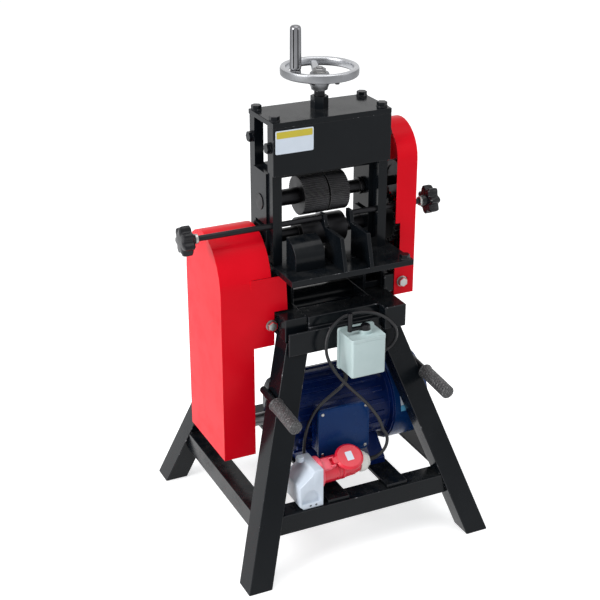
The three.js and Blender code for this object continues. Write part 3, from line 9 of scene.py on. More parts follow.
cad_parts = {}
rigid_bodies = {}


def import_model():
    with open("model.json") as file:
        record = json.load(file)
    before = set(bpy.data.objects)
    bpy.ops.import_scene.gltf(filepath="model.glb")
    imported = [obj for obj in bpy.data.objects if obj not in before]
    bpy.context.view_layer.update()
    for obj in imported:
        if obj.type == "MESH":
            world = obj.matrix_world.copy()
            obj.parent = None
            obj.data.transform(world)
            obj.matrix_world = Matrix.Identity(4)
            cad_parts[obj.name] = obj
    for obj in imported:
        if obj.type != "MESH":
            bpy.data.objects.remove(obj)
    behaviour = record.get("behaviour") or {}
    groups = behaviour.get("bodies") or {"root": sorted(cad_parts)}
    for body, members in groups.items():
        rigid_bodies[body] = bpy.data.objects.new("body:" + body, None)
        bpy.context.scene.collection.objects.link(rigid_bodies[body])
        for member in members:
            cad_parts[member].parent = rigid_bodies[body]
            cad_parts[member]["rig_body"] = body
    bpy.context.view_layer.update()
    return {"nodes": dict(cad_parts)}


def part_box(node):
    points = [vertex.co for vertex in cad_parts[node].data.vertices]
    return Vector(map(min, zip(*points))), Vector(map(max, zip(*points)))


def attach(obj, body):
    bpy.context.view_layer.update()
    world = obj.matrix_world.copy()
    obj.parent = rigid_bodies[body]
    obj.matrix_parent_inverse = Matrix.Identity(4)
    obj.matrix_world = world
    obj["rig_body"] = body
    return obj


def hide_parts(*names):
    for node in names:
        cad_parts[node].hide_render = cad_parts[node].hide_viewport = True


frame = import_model()
nodes = frame["nodes"]

MM = 0.001
MACHINE_X = 20.02  # where the head's middle stands, in millimetres
JOIN, SAME = 1e-5, 1e-6  # points nearer than this become one: in a solid's mesh, and in a piece made here
FLAT_WITHIN = 0.5  # degrees between faces that count as one flat face


def added(name, add, **settings):
    """A new piece from one of Blender's plain shapes."""
    bpy.ops.object.select_all(action="DESELECT")
    add(**settings)
    bpy.context.object.name = name
    return bpy.context.object


# Steps that the shaders are put together from

def feed(tree, socket, value):
    """Gives a socket a number, a colour or what another node puts out."""
    if isinstance(value, (int, float)):
        socket.default_value = value
    elif isinstance(value, tuple):
        socket.default_value = (*value, 1)
    else:
        tree.links.new(value, socket)


def fed_node(tree, kind, values):
    node = tree.nodes.new(kind)
    for label, value in values.items():
        feed(tree, node.inputs[label], value)
    return node


def noise(tree, vector, scale, detail=4, rough=0.55):
    values = {"Vector": vector, "Scale": scale, "Detail": detail, "Roughness": rough}
    return fed_node(tree, "ShaderNodeTexNoise", values).outputs["Fac"]


def stretch(tree, value, low, high, to_low=0, to_high=1):
    values = {"Value": value, "From Min": low, "From Max": high, "To Min": to_low, "To Max": to_high}
    return fed_node(tree, "ShaderNodeMapRange", values).outputs["Result"]


def maths(tree, kind, a, b):
    node = tree.nodes.new("ShaderNodeMath")
    node.operation = kind
    feed(tree, node.inputs[0], a)
    feed(tree, node.inputs[1], b)
    return node.outputs[0]


def blended(tree, factor, a, b):
    node = tree.nodes.new("ShaderNodeMix")
    node.data_type = "RGBA"
    for label, value in (("Factor", factor), ("A", a), ("B", b)):
        feed(tree, node.inputs[label], value)
    return node.outputs["Result"]


# Camera, background, floor and lamps

CAMERA_PLACE, CAMERA_LOOK = (-1.144, -2.359, 1.691), (0.391, 0.823, -0.4115)
LENS, SENSOR_WIDTH = 80.4, 36
SKY_COLOUR, SKY_STRENGTH = (0.95, 0.98, 1), 0.5
FLOOR_SIZE, FLOOR_DROP = 40, 0.001
FLOOR_VALUES = {"Base Color": (0.8, 0.8, 0.8), "Roughness": 0.9, "Specular IOR Level": 0.1, "Emission Color": (1, 1, 1)}
FLOOR_GLOW = 0.58
# Each lamp's name, place, the height over the floor's middle that it aims at, its size and its power
LAMPS = [("window_left", (-3.7, -0.6, 2.2), 0.5, 2.4, 170),
         ("soft_top", (0.4, -0.4, 4.2), 0.5, 3, 60),
         ("soft_right", (3, -2.6, 1.8), 0.6, 2.5, 26)]


def set_up(name, data, place, look):
    """Puts a camera or a lamp at a place, looking along a direction."""
    thing = bpy.data.objects.new(name, data)
    bpy.context.collection.objects.link(thing)
    thing.location = place
    thing.rotation_euler = look.to_track_quat("-Z", "Y").to_euler()
    return thing


def set_camera():
    data = bpy.data.cameras.new("view")
    data.lens = LENS
    data.sensor_width = SENSOR_WIDTH
    bpy.context.scene.camera = set_up("view", data, CAMERA_PLACE, Vector(CAMERA_LOOK))


def white_seen(tree):
    """1 for the rays that see the background itself or mirrored, 0 for the rays that light the machine."""
    rays = tree.nodes.new("ShaderNodeLightPath")
    seen = rays.outputs["Is Camera Ray"]
    for kind in ("Is Glossy Ray", "Is Transmission Ray"):
        seen = maths(tree, "MAXIMUM", seen, rays.outputs[kind])
    return seen


def set_background():
    world = bpy.data.worlds.new("studio")
    bpy.context.scene.world = world
    world.use_nodes = True
    tree = world.node_tree
    tree.nodes.clear()
    seen = fed_node(tree, "ShaderNodeBackground", {"Color": (1, 1, 1)})
    light = fed_node(tree, "ShaderNodeBackground", {"Color": SKY_COLOUR, "Strength": SKY_STRENGTH})
    mixed = fed_node(tree, "ShaderNodeMixShader", {"Fac": white_seen(tree)})
    out = tree.nodes.new("ShaderNodeOutputWorld")
    tree.links.new(light.outputs[0], mixed.inputs[1])
    tree.links.new(seen.outputs[0], mixed.inputs[2])
    tree.links.new(mixed.outputs[0], out.inputs["Surface"])


def set_floor():
    floor = added("studio_floor", bpy.ops.mesh.primitive_plane_add, size=FLOOR_SIZE, location=(0, 0, -FLOOR_DROP))
    material = bpy.data.materials.new("white floor")
    material.use_nodes = True
    tree = material.node_tree
    shader = tree.nodes["Principled BSDF"]
    for label, value in FLOOR_VALUES.items():
        feed(tree, shader.inputs[label], value)
    feed(tree, shader.inputs["Emission Strength"], maths(tree, "MULTIPLY", white_seen(tree), FLOOR_GLOW))
    floor.data.materials.append(material)


def add_lamp(name, place, aim, size, power):
    data = bpy.data.lights.new(name, "AREA")
    data.shape = "SQUARE"
    data.size = size
    data.energy = power
    set_up(name, data, place, Vector((0, 0, aim)) - Vector(place))


set_camera()
set_background()
set_floor()
for lamp in LAMPS:
    add_lamp(*lamp)
bpy.context.scene.view_settings.view_transform = "Standard"


# Working by hand: selecting, shaping and finishing a mesh

def activate(piece):
    bpy.ops.object.select_all(action="DESELECT")
    piece.select_set(True)
    bpy.context.view_layer.objects.active = piece


def open_mesh(piece):
    activate(piece)
    bpy.ops.object.mode_set(mode="EDIT")


def close_mesh():
    bpy.ops.object.mode_set(mode="OBJECT")


def pick(kind, test):
    """In edit mode, selects the vertices, edges or faces that pass the test."""
    bpy.ops.mesh.select_mode(type=kind)
    bpy.ops.mesh.select_all(action="DESELECT")
    mesh = bmesh.from_edit_mesh(bpy.context.edit_object.data)
    mesh.normal_update()
    for part in {"VERT": mesh.verts, "EDGE": mesh.edges, "FACE": mesh.faces}[kind]:
        if test(part):
            part.select_set(True)
    mesh.select_flush_mode()
    bmesh.update_edit_mesh(bpy.context.edit_object.data)


def pick_all():
    bpy.ops.mesh.select_all(action="SELECT")


def join_points(within):
    """In edit mode, makes one of points that lie nearer together than this."""
    pick_all()
    bpy.ops.mesh.remove_doubles(threshold=within)


def moved(x=0, y=0, z=0):
    """In edit mode, moves what is selected, in millimetres."""
    bpy.ops.transform.translate(value=(x * MM, y * MM, z * MM))


def apply_modifier(piece, kind, **settings):
    activate(piece)
    modifier = piece.modifiers.new(kind.lower(), kind)
    for name, value in settings.items():
        setattr(modifier, name, value)
    bpy.ops.object.modifier_apply(modifier=modifier.name)


def bevel_edges(piece, width, segments=2, angle=35, **settings):
    """Rounds the sharp edges, and lets the broad faces keep their own direction."""
    apply_modifier(piece, "BEVEL", width=width * MM, segments=segments, limit_method="ANGLE",
                   angle_limit=math.radians(angle), **settings)
    apply_modifier(piece, "WEIGHTED_NORMAL", mode="FACE_AREA", weight=50, keep_sharp=True)


def finished(piece, coat, smooth=30, body="stand", replaces=()):
    """The last steps of a piece: outward faces, its place in its mesh, its coat, and the body it moves with."""
    open_mesh(piece)
    join_points(SAME)
    bpy.ops.mesh.normals_make_consistent(inside=False)
    close_mesh()
    bpy.ops.object.transform_apply(location=True, rotation=True, scale=True)
    bpy.ops.object.shade_smooth_by_angle(angle=math.radians(smooth))
    dress(piece, coat, body, replaces)
    return piece


def dress(piece, coat, body="stand", replaces=()):
    piece.data.materials.append(coat)
    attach(piece, body)
    if replaces:
        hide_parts(*replaces)


def coat_where(piece, coat, test):
    """Gives the faces that pass the test a coat of their own."""
    piece.data.materials.append(coat)
    open_mesh(piece)
    pick("FACE", test)
    piece.active_material_index = len(piece.data.materials) - 1
    bpy.ops.object.material_slot_assign()
    close_mesh()


def softened(node, coats, width=1, segments=2, angle=35, shape=None):
    """A CAD node's shape with its edges rounded off as paint, casting or moulding leaves them."""
    source = nodes[node]
    piece = copied(source, node + "_finished", Matrix.Identity(4))
    for key in [key for key in piece.keys() if key.startswith("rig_")]:
        del piece[key]
    piece.data.materials.clear()
    for coat in coats:
        piece.data.materials.append(coat)
    open_mesh(piece)
    join_points(JOIN)
    bpy.ops.mesh.dissolve_limited(angle_limit=math.radians(FLAT_WITHIN))
    bpy.ops.mesh.select_all(action="DESELECT")
    close_mesh()
    if shape:
        shape(piece)
    bpy.ops.object.shade_smooth()
    extra = {"material": 1} if len(coats) > 1 else {}
    bevel_edges(piece, width, segments, angle, **extra)
    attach(piece, source["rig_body"])
    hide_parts(node)
    return piece


QUARTER = math.pi / 2
TURNS = {"Z": (0, 0, 0), "X": (0, QUARTER, 0), "-X": (0, -QUARTER, 0), "Y": (-QUARTER, 0, 0), "-Y": (QUARTER, 0, 0),
         "-Z": (math.pi, 0, 0)}
AXES = {"Z": (0, 0, 1), "X": (1, 0, 0), "-X": (-1, 0, 0), "Y": (0, 1, 0), "-Y": (0, -1, 0), "-Z": (0, 0, -1)}


def turned(name, profile, foot, along="Z", sides=48, closed=False):
    """A disc drawn out step by step through (height, radius), in millimetres, or a ring where the row is closed."""
    start, radius = profile[0]
    place = Vector(foot) * MM + Vector(AXES[along]) * start * MM
    piece = added(name, bpy.ops.mesh.primitive_circle_add, vertices=sides, radius=radius * MM,
                  fill_type="NOTHING" if closed else "NGON", location=place, rotation=TURNS[along])
    bpy.ops.object.mode_set(mode="EDIT")
    bpy.ops.mesh.select_mode(type="EDGE" if closed else "FACE")
    pick_all()
    ends = profile[1:] + profile[:1] if closed else profile[1:]
    for (h0, r0), (h1, r1) in zip(profile, ends):
        step = {"value": (0, 0, (h1 - h0) * MM), "orient_type": "LOCAL"}
        bpy.ops.mesh.extrude_region_move(TRANSFORM_OT_translate=step)
        if r1 != r0:
            bpy.ops.transform.resize(value=(r1 / r0, r1 / r0, 1), orient_type="LOCAL", center_override=place)
    if closed:
        join_points(SAME)
    close_mesh()
    return piece


def fitting(name, profile, foot, along, sides, coat, smooth=30, body="stand"):
    """A turned piece that needs no more shaping."""
    return finished(turned(name, profile, foot, along, sides), coat, smooth, body)


def block(name, low, high):
    """A plain block between two corners, in millimetres, ready to be shaped."""
    low, high = Vector(low) * MM, Vector(high) * MM
    piece = added(name, bpy.ops.mesh.primitive_cube_add, size=1, location=(low + high) / 2, scale=high - low)
    bpy.ops.object.transform_apply(location=True, rotation=True, scale=True)
    return piece


def round_edges(piece, width, segments, test=None):
    """Bevels the edges that pass the test, or every edge, by hand."""
    open_mesh(piece)
    pick("EDGE", test or (lambda edge: True))
    bpy.ops.mesh.bevel(offset=width * MM, segments=segments, affect="EDGES", clamp_overlap=True)
    close_mesh()


def along_axis(axis):
    """A test for edges that run along an axis: 0, 1 or 2 for X, Y or Z."""
    return lambda edge: abs((edge.verts[1].co - edge.verts[0].co).normalized()[axis]) > 0.99


def facing(direction):
    """A test for faces that look in a direction."""
    return lambda face: face.normal.dot(Vector(direction)) > 0.9


def turn_about(point, angle, axis):
    """The place of a piece that is turned about a line through a point given in millimetres."""
    at = Vector(point) * MM
    return Matrix.Translation(at) @ Matrix.Rotation(angle, 4, axis) @ Matrix.Translation(-at)


def copied(piece, name, place):
    """A copy with its own mesh, on no body yet, put at a place."""
    copy = piece.copy()
    copy.data = piece.data.copy()
    copy.name = name
    bpy.context.collection.objects.link(copy)
    copy.parent = None
    copy.matrix_world = place
    return copy


# Effects that several finishes share

PEEL = 420  # how fine the orange peel of sprayed paint is


def new_effect(name, colours, numbers, results):
    """An empty effect that takes a place, colours and numbers, and gives a colour and the results named."""
    tree = bpy.data.node_groups.new(name, "ShaderNodeTree")
    for way, kind, labels in (("INPUT", "Vector", ["Vector"]), ("INPUT", "Color", colours), ("INPUT", "Float", numbers),
                              ("OUTPUT", "Color", ["Colour"]), ("OUTPUT", "Float", results)):
        for label in labels:
            tree.interface.new_socket(name=label, in_out=way, socket_type="NodeSocket" + kind)
    return tree, tree.nodes.new("NodeGroupInput"), tree.nodes.new("NodeGroupOutput")


def sum_of(tree, base, amount, share):
    """The base with a share of the amount added to it."""
    return maths(tree, "ADD", base, maths(tree, "MULTIPLY", amount, share))


def give(tree, result, **values):
    for label, value in values.items():
        tree.links.new(value, result.inputs[label])
    return tree


def painted_coat():
    """Sprayed paint: slow colour drift, dust that settles on upward faces, rubbed patches and orange peel."""
    tree, given, result = new_effect("painted coat", ["Colour", "Deep colour"], ["Dust", "Gloss", "Rubbed"],
                                     ["Roughness", "Height"])
    vector, colour, deep, dusty, gloss, rub = given.outputs[:6]
    drift = stretch(tree, noise(tree, vector, 7, 3), 0.35, 0.65)
    colour = blended(tree, drift, colour, deep)
    place = tree.nodes.new("ShaderNodeTexCoord")
    parts = tree.nodes.new("ShaderNodeSeparateXYZ")
    tree.links.new(place.outputs["Normal"], parts.inputs[0])
    upward = stretch(tree, parts.outputs["Z"], 0.3, 1)
    settled = stretch(tree, noise(tree, vector, 34, 6, 0.65), 0.42, 0.74)
    dust = maths(tree, "MULTIPLY", maths(tree, "MULTIPLY", upward, settled), dusty)
    colour = blended(tree, dust, colour, (0.3, 0.29, 0.27))
    rubbed = stretch(tree, noise(tree, vector, 19, 5, 0.6), 0.45, 0.7)
    rough = sum_of(tree, sum_of(tree, gloss, rubbed, rub), dust, 0.35)
    return give(tree, result, Colour=colour, Roughness=rough, Height=noise(tree, vector, PEEL, 2))


def worn_edge():
    """Paint rubbed thin along an edge, with chips down to the metal."""
    tree, given, result = new_effect("worn edge", ["Colour", "Bare colour"], ["Wear", "Gloss"],
                                     ["Roughness", "Metal", "Height"])
    vector, colour, bare, wear, gloss = given.outputs[:5]
    chips = sum_of(tree, noise(tree, vector, 55, 7, 0.7), wear, 0.2)
    chips = stretch(tree, chips, 0.66, 0.72)
    return give(tree, result, Colour=blended(tree, chips, colour, bare), Roughness=sum_of(tree, gloss, chips, 0.12),
                Metal=chips, Height=noise(tree, vector, PEEL, 2))


def worked_metal():
    """Turned, ground or cast metal: fine tool lines across one axis, stains and oil."""
    tree, given, result = new_effect("worked metal", ["Colour", "Stain"], ["Stained", "Gloss", "Spread"],
                                     ["Roughness", "Height"])
    vector, colour, stain, stained, gloss, spread = given.outputs[:6]
    stains = stretch(tree, noise(tree, vector, 26, 5, 0.6), 0.4, 0.72)
    stains = maths(tree, "MULTIPLY", stains, stained)
    lines = fed_node(tree, "ShaderNodeMapping", {"Vector": vector})
    lines.inputs["Scale"].default_value = (900, 60, 60)
    marks = noise(tree, lines.outputs[0], 1, 3)
    rough = sum_of(tree, sum_of(tree, gloss, marks, spread), stains, 0.2)
    return give(tree, result, Colour=blended(tree, stains, colour, stain), Roughness=rough, Height=marks)


def moulded_grain():
    """Moulded plastic and rubber: a fine grain, slow colour drift and scuffs."""
    tree, given, result = new_effect("moulded grain", ["Colour", "Deep colour"], ["Grain size", "Gloss", "Scuffed"],
                                     ["Roughness", "Height"])
    vector, colour, deep, grain, gloss, scuffed = given.outputs[:6]
    drift = stretch(tree, noise(tree, vector, 16, 4), 0.35, 0.7)
    scuffs = stretch(tree, noise(tree, vector, 60, 6, 0.7), 0.5, 0.75)
    return give(tree, result, Colour=blended(tree, drift, colour, deep), Roughness=sum_of(tree, gloss, scuffs, scuffed),
                Height=noise(tree, vector, grain, 3))


PAINT, EDGE, METAL, MOULDED = painted_coat(), worn_edge(), worked_metal(), moulded_grain()


def finish(name, effect, *values, metallic=0, bump=0.08, depth=0.0004, sheen=0.5):
    """A material: one shared effect, with this finish's own values in the order of the effect's inputs."""
    material = bpy.data.materials.new(name)
    material.use_nodes = True
    tree = material.node_tree
    shader = tree.nodes["Principled BSDF"]
    shader.inputs["Metallic"].default_value = metallic
    shader.inputs["Specular IOR Level"].default_value = sheen
    place = tree.nodes.new("ShaderNodeTexCoord")
    group = tree.nodes.new("ShaderNodeGroup")
    group.node_tree = effect
    for socket, value in zip(group.inputs, (place.outputs["Object"], *values)):
        feed(tree, socket, value)
    raised = fed_node(tree, "ShaderNodeBump",
                      {"Strength": bump, "Distance": depth, "Height": group.outputs["Height"]})
    tree.links.new(group.outputs["Colour"], shader.inputs["Base Color"])
    tree.links.new(group.outputs["Roughness"], shader.inputs["Roughness"])
    if "Metal" in group.outputs:
        tree.links.new(group.outputs["Metal"], shader.inputs["Metallic"])
    tree.links.new(raised.outputs[0], shader.inputs["Normal"])
    return material


# Paint: colour, deep colour, dust, gloss, rubbed
black_paint = finish("black paint", PAINT, (0.0045, 0.006, 0.0078), (0.003, 0.0042, 0.0058), 0.05, 0.16, 0.14,
                     bump=0.1, sheen=0.12)
red_paint = finish("red paint", PAINT, (0.7, 0.0035, 0.014), (0.64, 0.0025, 0.011), 0, 0.28, 0.1,
                   bump=0.06, sheen=0.07)
blue_paint = finish("motor blue paint", PAINT, (0.001, 0.012, 0.085), (0.0008, 0.009, 0.065), 0.03, 0.24, 0.12,
                    bump=0.14, sheen=0.12)
blue_lid = finish("bright blue paint", PAINT, (0.002, 0.028, 0.12), (0.0015, 0.022, 0.1), 0.02, 0.24, 0.1, sheen=0.1)

# Worn edges: colour, bare colour, wear, gloss
black_edge = finish("black paint edge", EDGE, (0.009, 0.01, 0.012), (0.16, 0.16, 0.17), 0.3, 0.26, sheen=0.2)
red_edge = finish("red paint edge", EDGE, (0.74, 0.008, 0.02), (0.5, 0.2, 0.2), 0.05, 0.28, sheen=0.2)
blue_edge = finish("motor blue edge", EDGE, (0.004, 0.018, 0.12), (0.15, 0.16, 0.2), 0.2, 0.28, sheen=0.25)

# Metals: colour, stain, stained, gloss, spread of the gloss
blackened = finish("blackened steel", METAL, (0.016, 0.016, 0.018), (0.007, 0.007, 0.008), 0.6, 0.26, 0.16,
                   metallic=0.7, bump=0.12, sheen=0.25)
screw_dark = finish("dark fastener", METAL, (0.022, 0.022, 0.024), (0.01, 0.01, 0.01), 0.5, 0.28, 0.15,
                    metallic=0.7, bump=0.1, sheen=0.3)
tooth_edge = finish("rubbed tooth tip", METAL, (0.11, 0.108, 0.11), (0.03, 0.029, 0.029), 0.5, 0.28, 0.12,
                    metallic=0.85, bump=0.1)
bare_steel = finish("bare steel", METAL, (0.22, 0.22, 0.225), (0.09, 0.08, 0.07), 0.45, 0.26, 0.14,
                    metallic=1, bump=0.1)
aluminium = finish("polished cast aluminium", METAL, (0.2, 0.205, 0.215), (0.12, 0.12, 0.122), 0.6, 0.3, 0.16,
                   metallic=1, bump=0.16)
# A lighter copy of the aluminium for the wheel's top and inner faces and for its spokes: painted highlight.
aluminium_painted_highlight = finish("aluminium with painted highlight", METAL, (0.46, 0.47, 0.49), (0.3, 0.3, 0.31), 0.4, 0.2, 0.12, metallic=1)
chrome = finish("chrome", METAL, (0.19, 0.19, 0.2), (0.12, 0.12, 0.13), 0.4, 0.14, 0.08, metallic=1, bump=0.05)
zinc = finish("zinc plate", METAL, (0.36, 0.36, 0.35), (0.2, 0.19, 0.18), 0.5, 0.24, 0.12, metallic=1)

# Plastic, rubber and label film: colour, deep colour, grain size, gloss, scuffed
rubber = finish("black rubber", MOULDED, (0.008, 0.008, 0.009), (0.005, 0.005, 0.006), 900, 0.5, 0.2,
                bump=0.1, sheen=0.2)
cable_rubber = finish("cable sheath", MOULDED, (0.01, 0.01, 0.012), (0.007, 0.007, 0.008), 700, 0.36, 0.18,
                      sheen=0.3)
knob_plastic = finish("black phenolic", MOULDED, (0.005, 0.005, 0.007), (0.0035, 0.0035, 0.005), 500, 0.24, 0.12,
                      bump=0.05, sheen=0.22)
switch_white = finish("switch box plastic", MOULDED, (0.44, 0.54, 0.54), (0.39, 0.49, 0.49), 800, 0.36, 0.1, bump=0.04)
socket_white = finish("socket box plastic", MOULDED, (0.58, 0.64, 0.72), (0.52, 0.58, 0.66), 800, 0.34, 0.1, bump=0.04)
nut_white = finish("nut plastic", MOULDED, (0.74, 0.74, 0.7), (0.66, 0.66, 0.62), 800, 0.36, 0.1, bump=0.04)
plug_red = finish("plug plastic", MOULDED, (0.66, 0.012, 0.035), (0.58, 0.009, 0.028), 700, 0.3, 0.12, bump=0.05)
# A lighter copy of the red plug plastic for the flange and the hinge: painted highlight.
plug_red_painted_lit = finish("plug plastic in the light", MOULDED, (0.78, 0.1, 0.14), (0.7, 0.07, 0.11), 700, 0.32, 0.12,
                   bump=0.05)
label_white = finish("blank label film", MOULDED, (0.6, 0.66, 0.74), (0.56, 0.62, 0.7), 300, 0.3, 0.08, bump=0.01)
label_yellow = finish("yellow label film", MOULDED, (0.52, 0.42, 0.02), (0.46, 0.37, 0.02), 300, 0.3, 0.08, bump=0.01)
label_blue = finish("blue label film", MOULDED, (0.1, 0.38, 0.62), (0.08, 0.33, 0.56), 300, 0.3, 0.08, bump=0.01)

RIB_TURN, RIB_SCALE, RIB_WANDER = 0.78, 75, 0.5


def knurled_rubber():
    """Grip rubber: crossed ribs that form small diamonds, with pale dust caught between them."""
    material = finish("knurled grip rubber", MOULDED, (0.02, 0.02, 0.022), (0.014, 0.014, 0.015), 500, 0.5, 0.15,
                      bump=0.7, depth=0.0012)
    tree = material.node_tree
    by_type = {node.type: node for node in tree.nodes}
    place = by_type["TEX_COORD"].outputs["Object"]
    ribs = []
    for turn in (RIB_TURN, -RIB_TURN):
        mapping = fed_node(tree, "ShaderNodeMapping", {"Vector": place})
        mapping.inputs["Rotation"].default_value = (turn, 0, turn)
        wave = fed_node(tree, "ShaderNodeTexWave",
                        {"Vector": mapping.outputs[0], "Scale": RIB_SCALE, "Distortion": RIB_WANDER})
        wave.bands_direction = "Y"
        ribs.append(wave.outputs["Fac"])
    diamonds = maths(tree, "MINIMUM", *ribs)
    tree.links.new(diamonds, by_type["BUMP"].inputs["Height"])
    speckle = stretch(tree, noise(tree, place, 420, 4, 0.7), 0.5, 0.62)
    caught = maths(tree, "MULTIPLY", speckle, stretch(tree, diamonds, 0.15, 0.6, 0.75, 0))
    colour = blended(tree, caught, by_type["GROUP"].outputs["Colour"], (0.22, 0.22, 0.22))
    tree.links.new(colour, tree.nodes["Principled BSDF"].inputs["Base Color"])
    return material


grip_rubber = knurled_rubber()
painted = (black_paint, black_edge)


# Leads

LEAD = 7  # how thick both leads are
ROUTE_STEP = 2.5
SLEEVE_LENGTH = 24
SLEEVE_WIDE, SLEEVE_TAPER, SLEEVE_RIB = 1.62, 0.5, 0.07  # times the lead's thickness


def through(points):
    """A smooth line through the points, in metres, as the part's own leads run."""
    points = [Vector((x + MACHINE_X, y, z)) for x, y, z in points]
    points = [2 * points[0] - points[1], *points, 2 * points[-1] - points[-2]]
    line = []
    for p0, p1, p2, p3 in zip(points, points[1:], points[2:], points[3:]):
        d0, d1, d2 = ((b - a).length ** 0.5 for a, b in ((p0, p1), (p1, p2), (p2, p3)))
        t1 = ((p1 - p0) / d0 - (p2 - p0) / (d0 + d1) + (p2 - p1) / d1) * d1
        t2 = ((p2 - p1) / d1 - (p3 - p1) / (d1 + d2) + (p3 - p2) / d2) * d1
        count = max(2, round((p2 - p1).length / ROUTE_STEP))
        for i in range(count):
            t = i / count
            line.append(p1 + t1 * t + (3 * (p2 - p1) - 2 * t1 - t2) * t * t + (2 * (p1 - p2) + t1 + t2) * t ** 3)
    line.append(points[-2])
    return [p * MM for p in line]


def tube(name, line, thickness, swell=None, around=4):
    """A round tube along a line, with a thickness that may change from point to point."""
    data = bpy.data.curves.new(name, "CURVE")
    data.dimensions = "3D"
    data.bevel_depth = thickness * MM / 2
    data.bevel_resolution = around
    data.use_fill_caps = True
    spline = data.splines.new("POLY")
    spline.points.add(len(line) - 1)
    for i, (point, place) in enumerate(zip(spline.points, line)):
        point.co = (*place, 1)
        point.radius = swell[i] if swell else 1
    piece = bpy.data.objects.new(name, data)
    bpy.context.collection.objects.link(piece)
    return piece


def as_mesh(piece):
    """Turns a drawn line into a mesh, smooth all round."""
    activate(piece)
    bpy.ops.object.convert(target="MESH")
    bpy.ops.object.shade_smooth()


def bend_sleeve(name, line):
    """The tapered, ribbed sleeve that stiffens a lead where it leaves a gland."""
    kept, run = [line[0]], 0
    for a, b in zip(line, line[1:]):
        run += (b - a).length
        if run > SLEEVE_LENGTH * MM:
            break
        kept.append(b)
    last = len(kept) - 1
    swell = [SLEEVE_WIDE - SLEEVE_TAPER * (i / last) + (SLEEVE_RIB if i % 2 else 0) for i in range(last + 1)]
    piece = tube(name, kept, LEAD, swell)
    as_mesh(piece)
    bpy.ops.object.shade_smooth_by_angle(angle=math.radians(50))
    dress(piece, rubber)
    return piece


SUPPLY_ROUTE = [
    (28.6, -186.42, 199.84), (45.1, -186.4, 200.6), (60.1, -186.4, 207.2), (70.8, -186.4, 219.1), (75, -186.4, 235),
    (72.1, -186.7, 251.2), (63.4, -187.3, 265.1), (58, -187.8, 280.7), (51.1, -188.1, 295.7), (42.5, -188, 309.7),
    (33.3, -188, 323.3), (23.4, -188.1, 336.5), (12.9, -187.8, 349.2), (1.8, -187.2, 361.4), (-9.2, -186.1, 373.6),
    (-20.1, -184.3, 385.9), (-30.4, -181.9, 398.5), (-40, -178.6, 411.5), (-48.5, -174.8, 425.1),
    (-55.4, -171, 439.6), (-60.4, -167.1, 454.8), (-61.4, -162.8, 470.7), (-58.6, -158.4, 486.3),
    (-51.8, -154.7, 500.9), (-41.5, -151.7, 513.3), (-27.8, -149.2, 522.3), (-12.5, -147.8, 528.3),
    (3.7, -147.7, 531.2), (20.2, -148.6, 531.8), (36.5, -150.3, 530), (52.4, -152.1, 525.9), (67.4, -153.8, 519.2),
    (81.1, -154.8, 510), (93, -155.4, 498.5), (102.9, -155.4, 485.3), (107.8, -154.3, 469.5),
    (105.5, -152.6, 453.2), (96.2, -150.9, 439.7), (82, -149.7, 432.6), (65.3, -149.74, 432)]
MOTOR_ROUTE = [
    (-8, -149.74, 399.7), (-8.2, -149.7, 387.1), (-12.6, -149.6, 375.4), (-21.1, -149.5, 366.1),
    (-31.6, -149.3, 359.2), (-42.3, -149.1, 352.4), (-52.8, -148.8, 345.6), (-62.8, -148.3, 337.8),
    (-71.9, -147.8, 329.2), (-79.7, -147.3, 319.4), (-86.2, -146.8, 308.6), (-91.5, -146.4, 297.2),
    (-95.5, -145.9, 285.3), (-98.4, -145.5, 273.1), (-100.5, -145.1, 260.7), (-101.7, -144.7, 248.2),
    (-102.4, -144.4, 235.7), (-102.5, -144.3, 223.1), (-102.5, -144.1, 210.6), (-102.5, -144.1, 198),
    (-102.9, -144, 185.4), (-99.3, -144, 173.4), (-91.6, -144, 163.5), (-80.9, -144, 157.1), (-68.5, -144, 155),
    (-56.3, -144, 157.6), (-45.9, -144, 164.6), (-38.5, -144, 174.9), (-35.4, -144, 187.1), (-36, -144, 199.7)]

supply_line = through(SUPPLY_ROUTE)[::-1]
motor_line = through(MOTOR_ROUTE)


# Supply plug, at the end of the supply lead

PLUG_START, PLUG_Y, PLUG_Z = -50.7 + MACHINE_X, -186.42, 199.84
PLUG_AXIS = Vector((0, PLUG_Y, PLUG_Z))
PLUG_PROFILE = [(0, 26.2), (0.8, 27), (4.6, 27), (5.6, 25), (8.8, 25), (9.8, 27), (14.4, 27), (15.6, 24.6),
                (30, 23.4), (44, 22.2), (50.5, 20.6), (51, 18.9), (54.6, 18.9)]
RIB_LOW, RIB_HIGH = (15, -1.6, 20), (43, 1.6, 25.4)  # from the plug's start and axis
RIB_FALL, RIB_COUNT = 1.6, 10
NUT_START = 54.3
NUT_PROFILE = [(0, 21.4), (1.2, 22.4), (13.5, 22.4), (15, 21.6), (18, 18.4), (22, 15.2), (24.7, 13.8)]


def supply_plug():
    """The plug's body with grip ribs, and the pale nut that holds its lead."""
    at = Vector((PLUG_START, PLUG_Y, PLUG_Z))
    body = turned("plug_body", PLUG_PROFILE, at, "X", 56)
    finished(body, plug_red, 25, replaces=["supply_plug"])
    rib = block("plug_rib", at + Vector(RIB_LOW), at + Vector(RIB_HIGH))
    open_mesh(rib)
    pick("FACE", facing((1, 0, 0)))
    moved(z=-RIB_FALL)
    close_mesh()
    round_edges(rib, 1.1, 3)
    pieces = [body]
    for i in range(RIB_COUNT):
        copy = copied(rib, "plug_grip_rib_%d" % i, turn_about(PLUG_AXIS, i * math.tau / RIB_COUNT, "X"))
        pieces.append(finished(copy, plug_red, 40))
    bpy.data.objects.remove(rib)
    nut = turned("plug_cable_nut", NUT_PROFILE, (PLUG_START + NUT_START, PLUG_Y, PLUG_Z), "X", 12)
    bevel_edges(nut, 0.7, 2, 20)
    pieces.append(finished(nut, nut_white, 20))
    return pieces


plug_pieces = supply_plug()

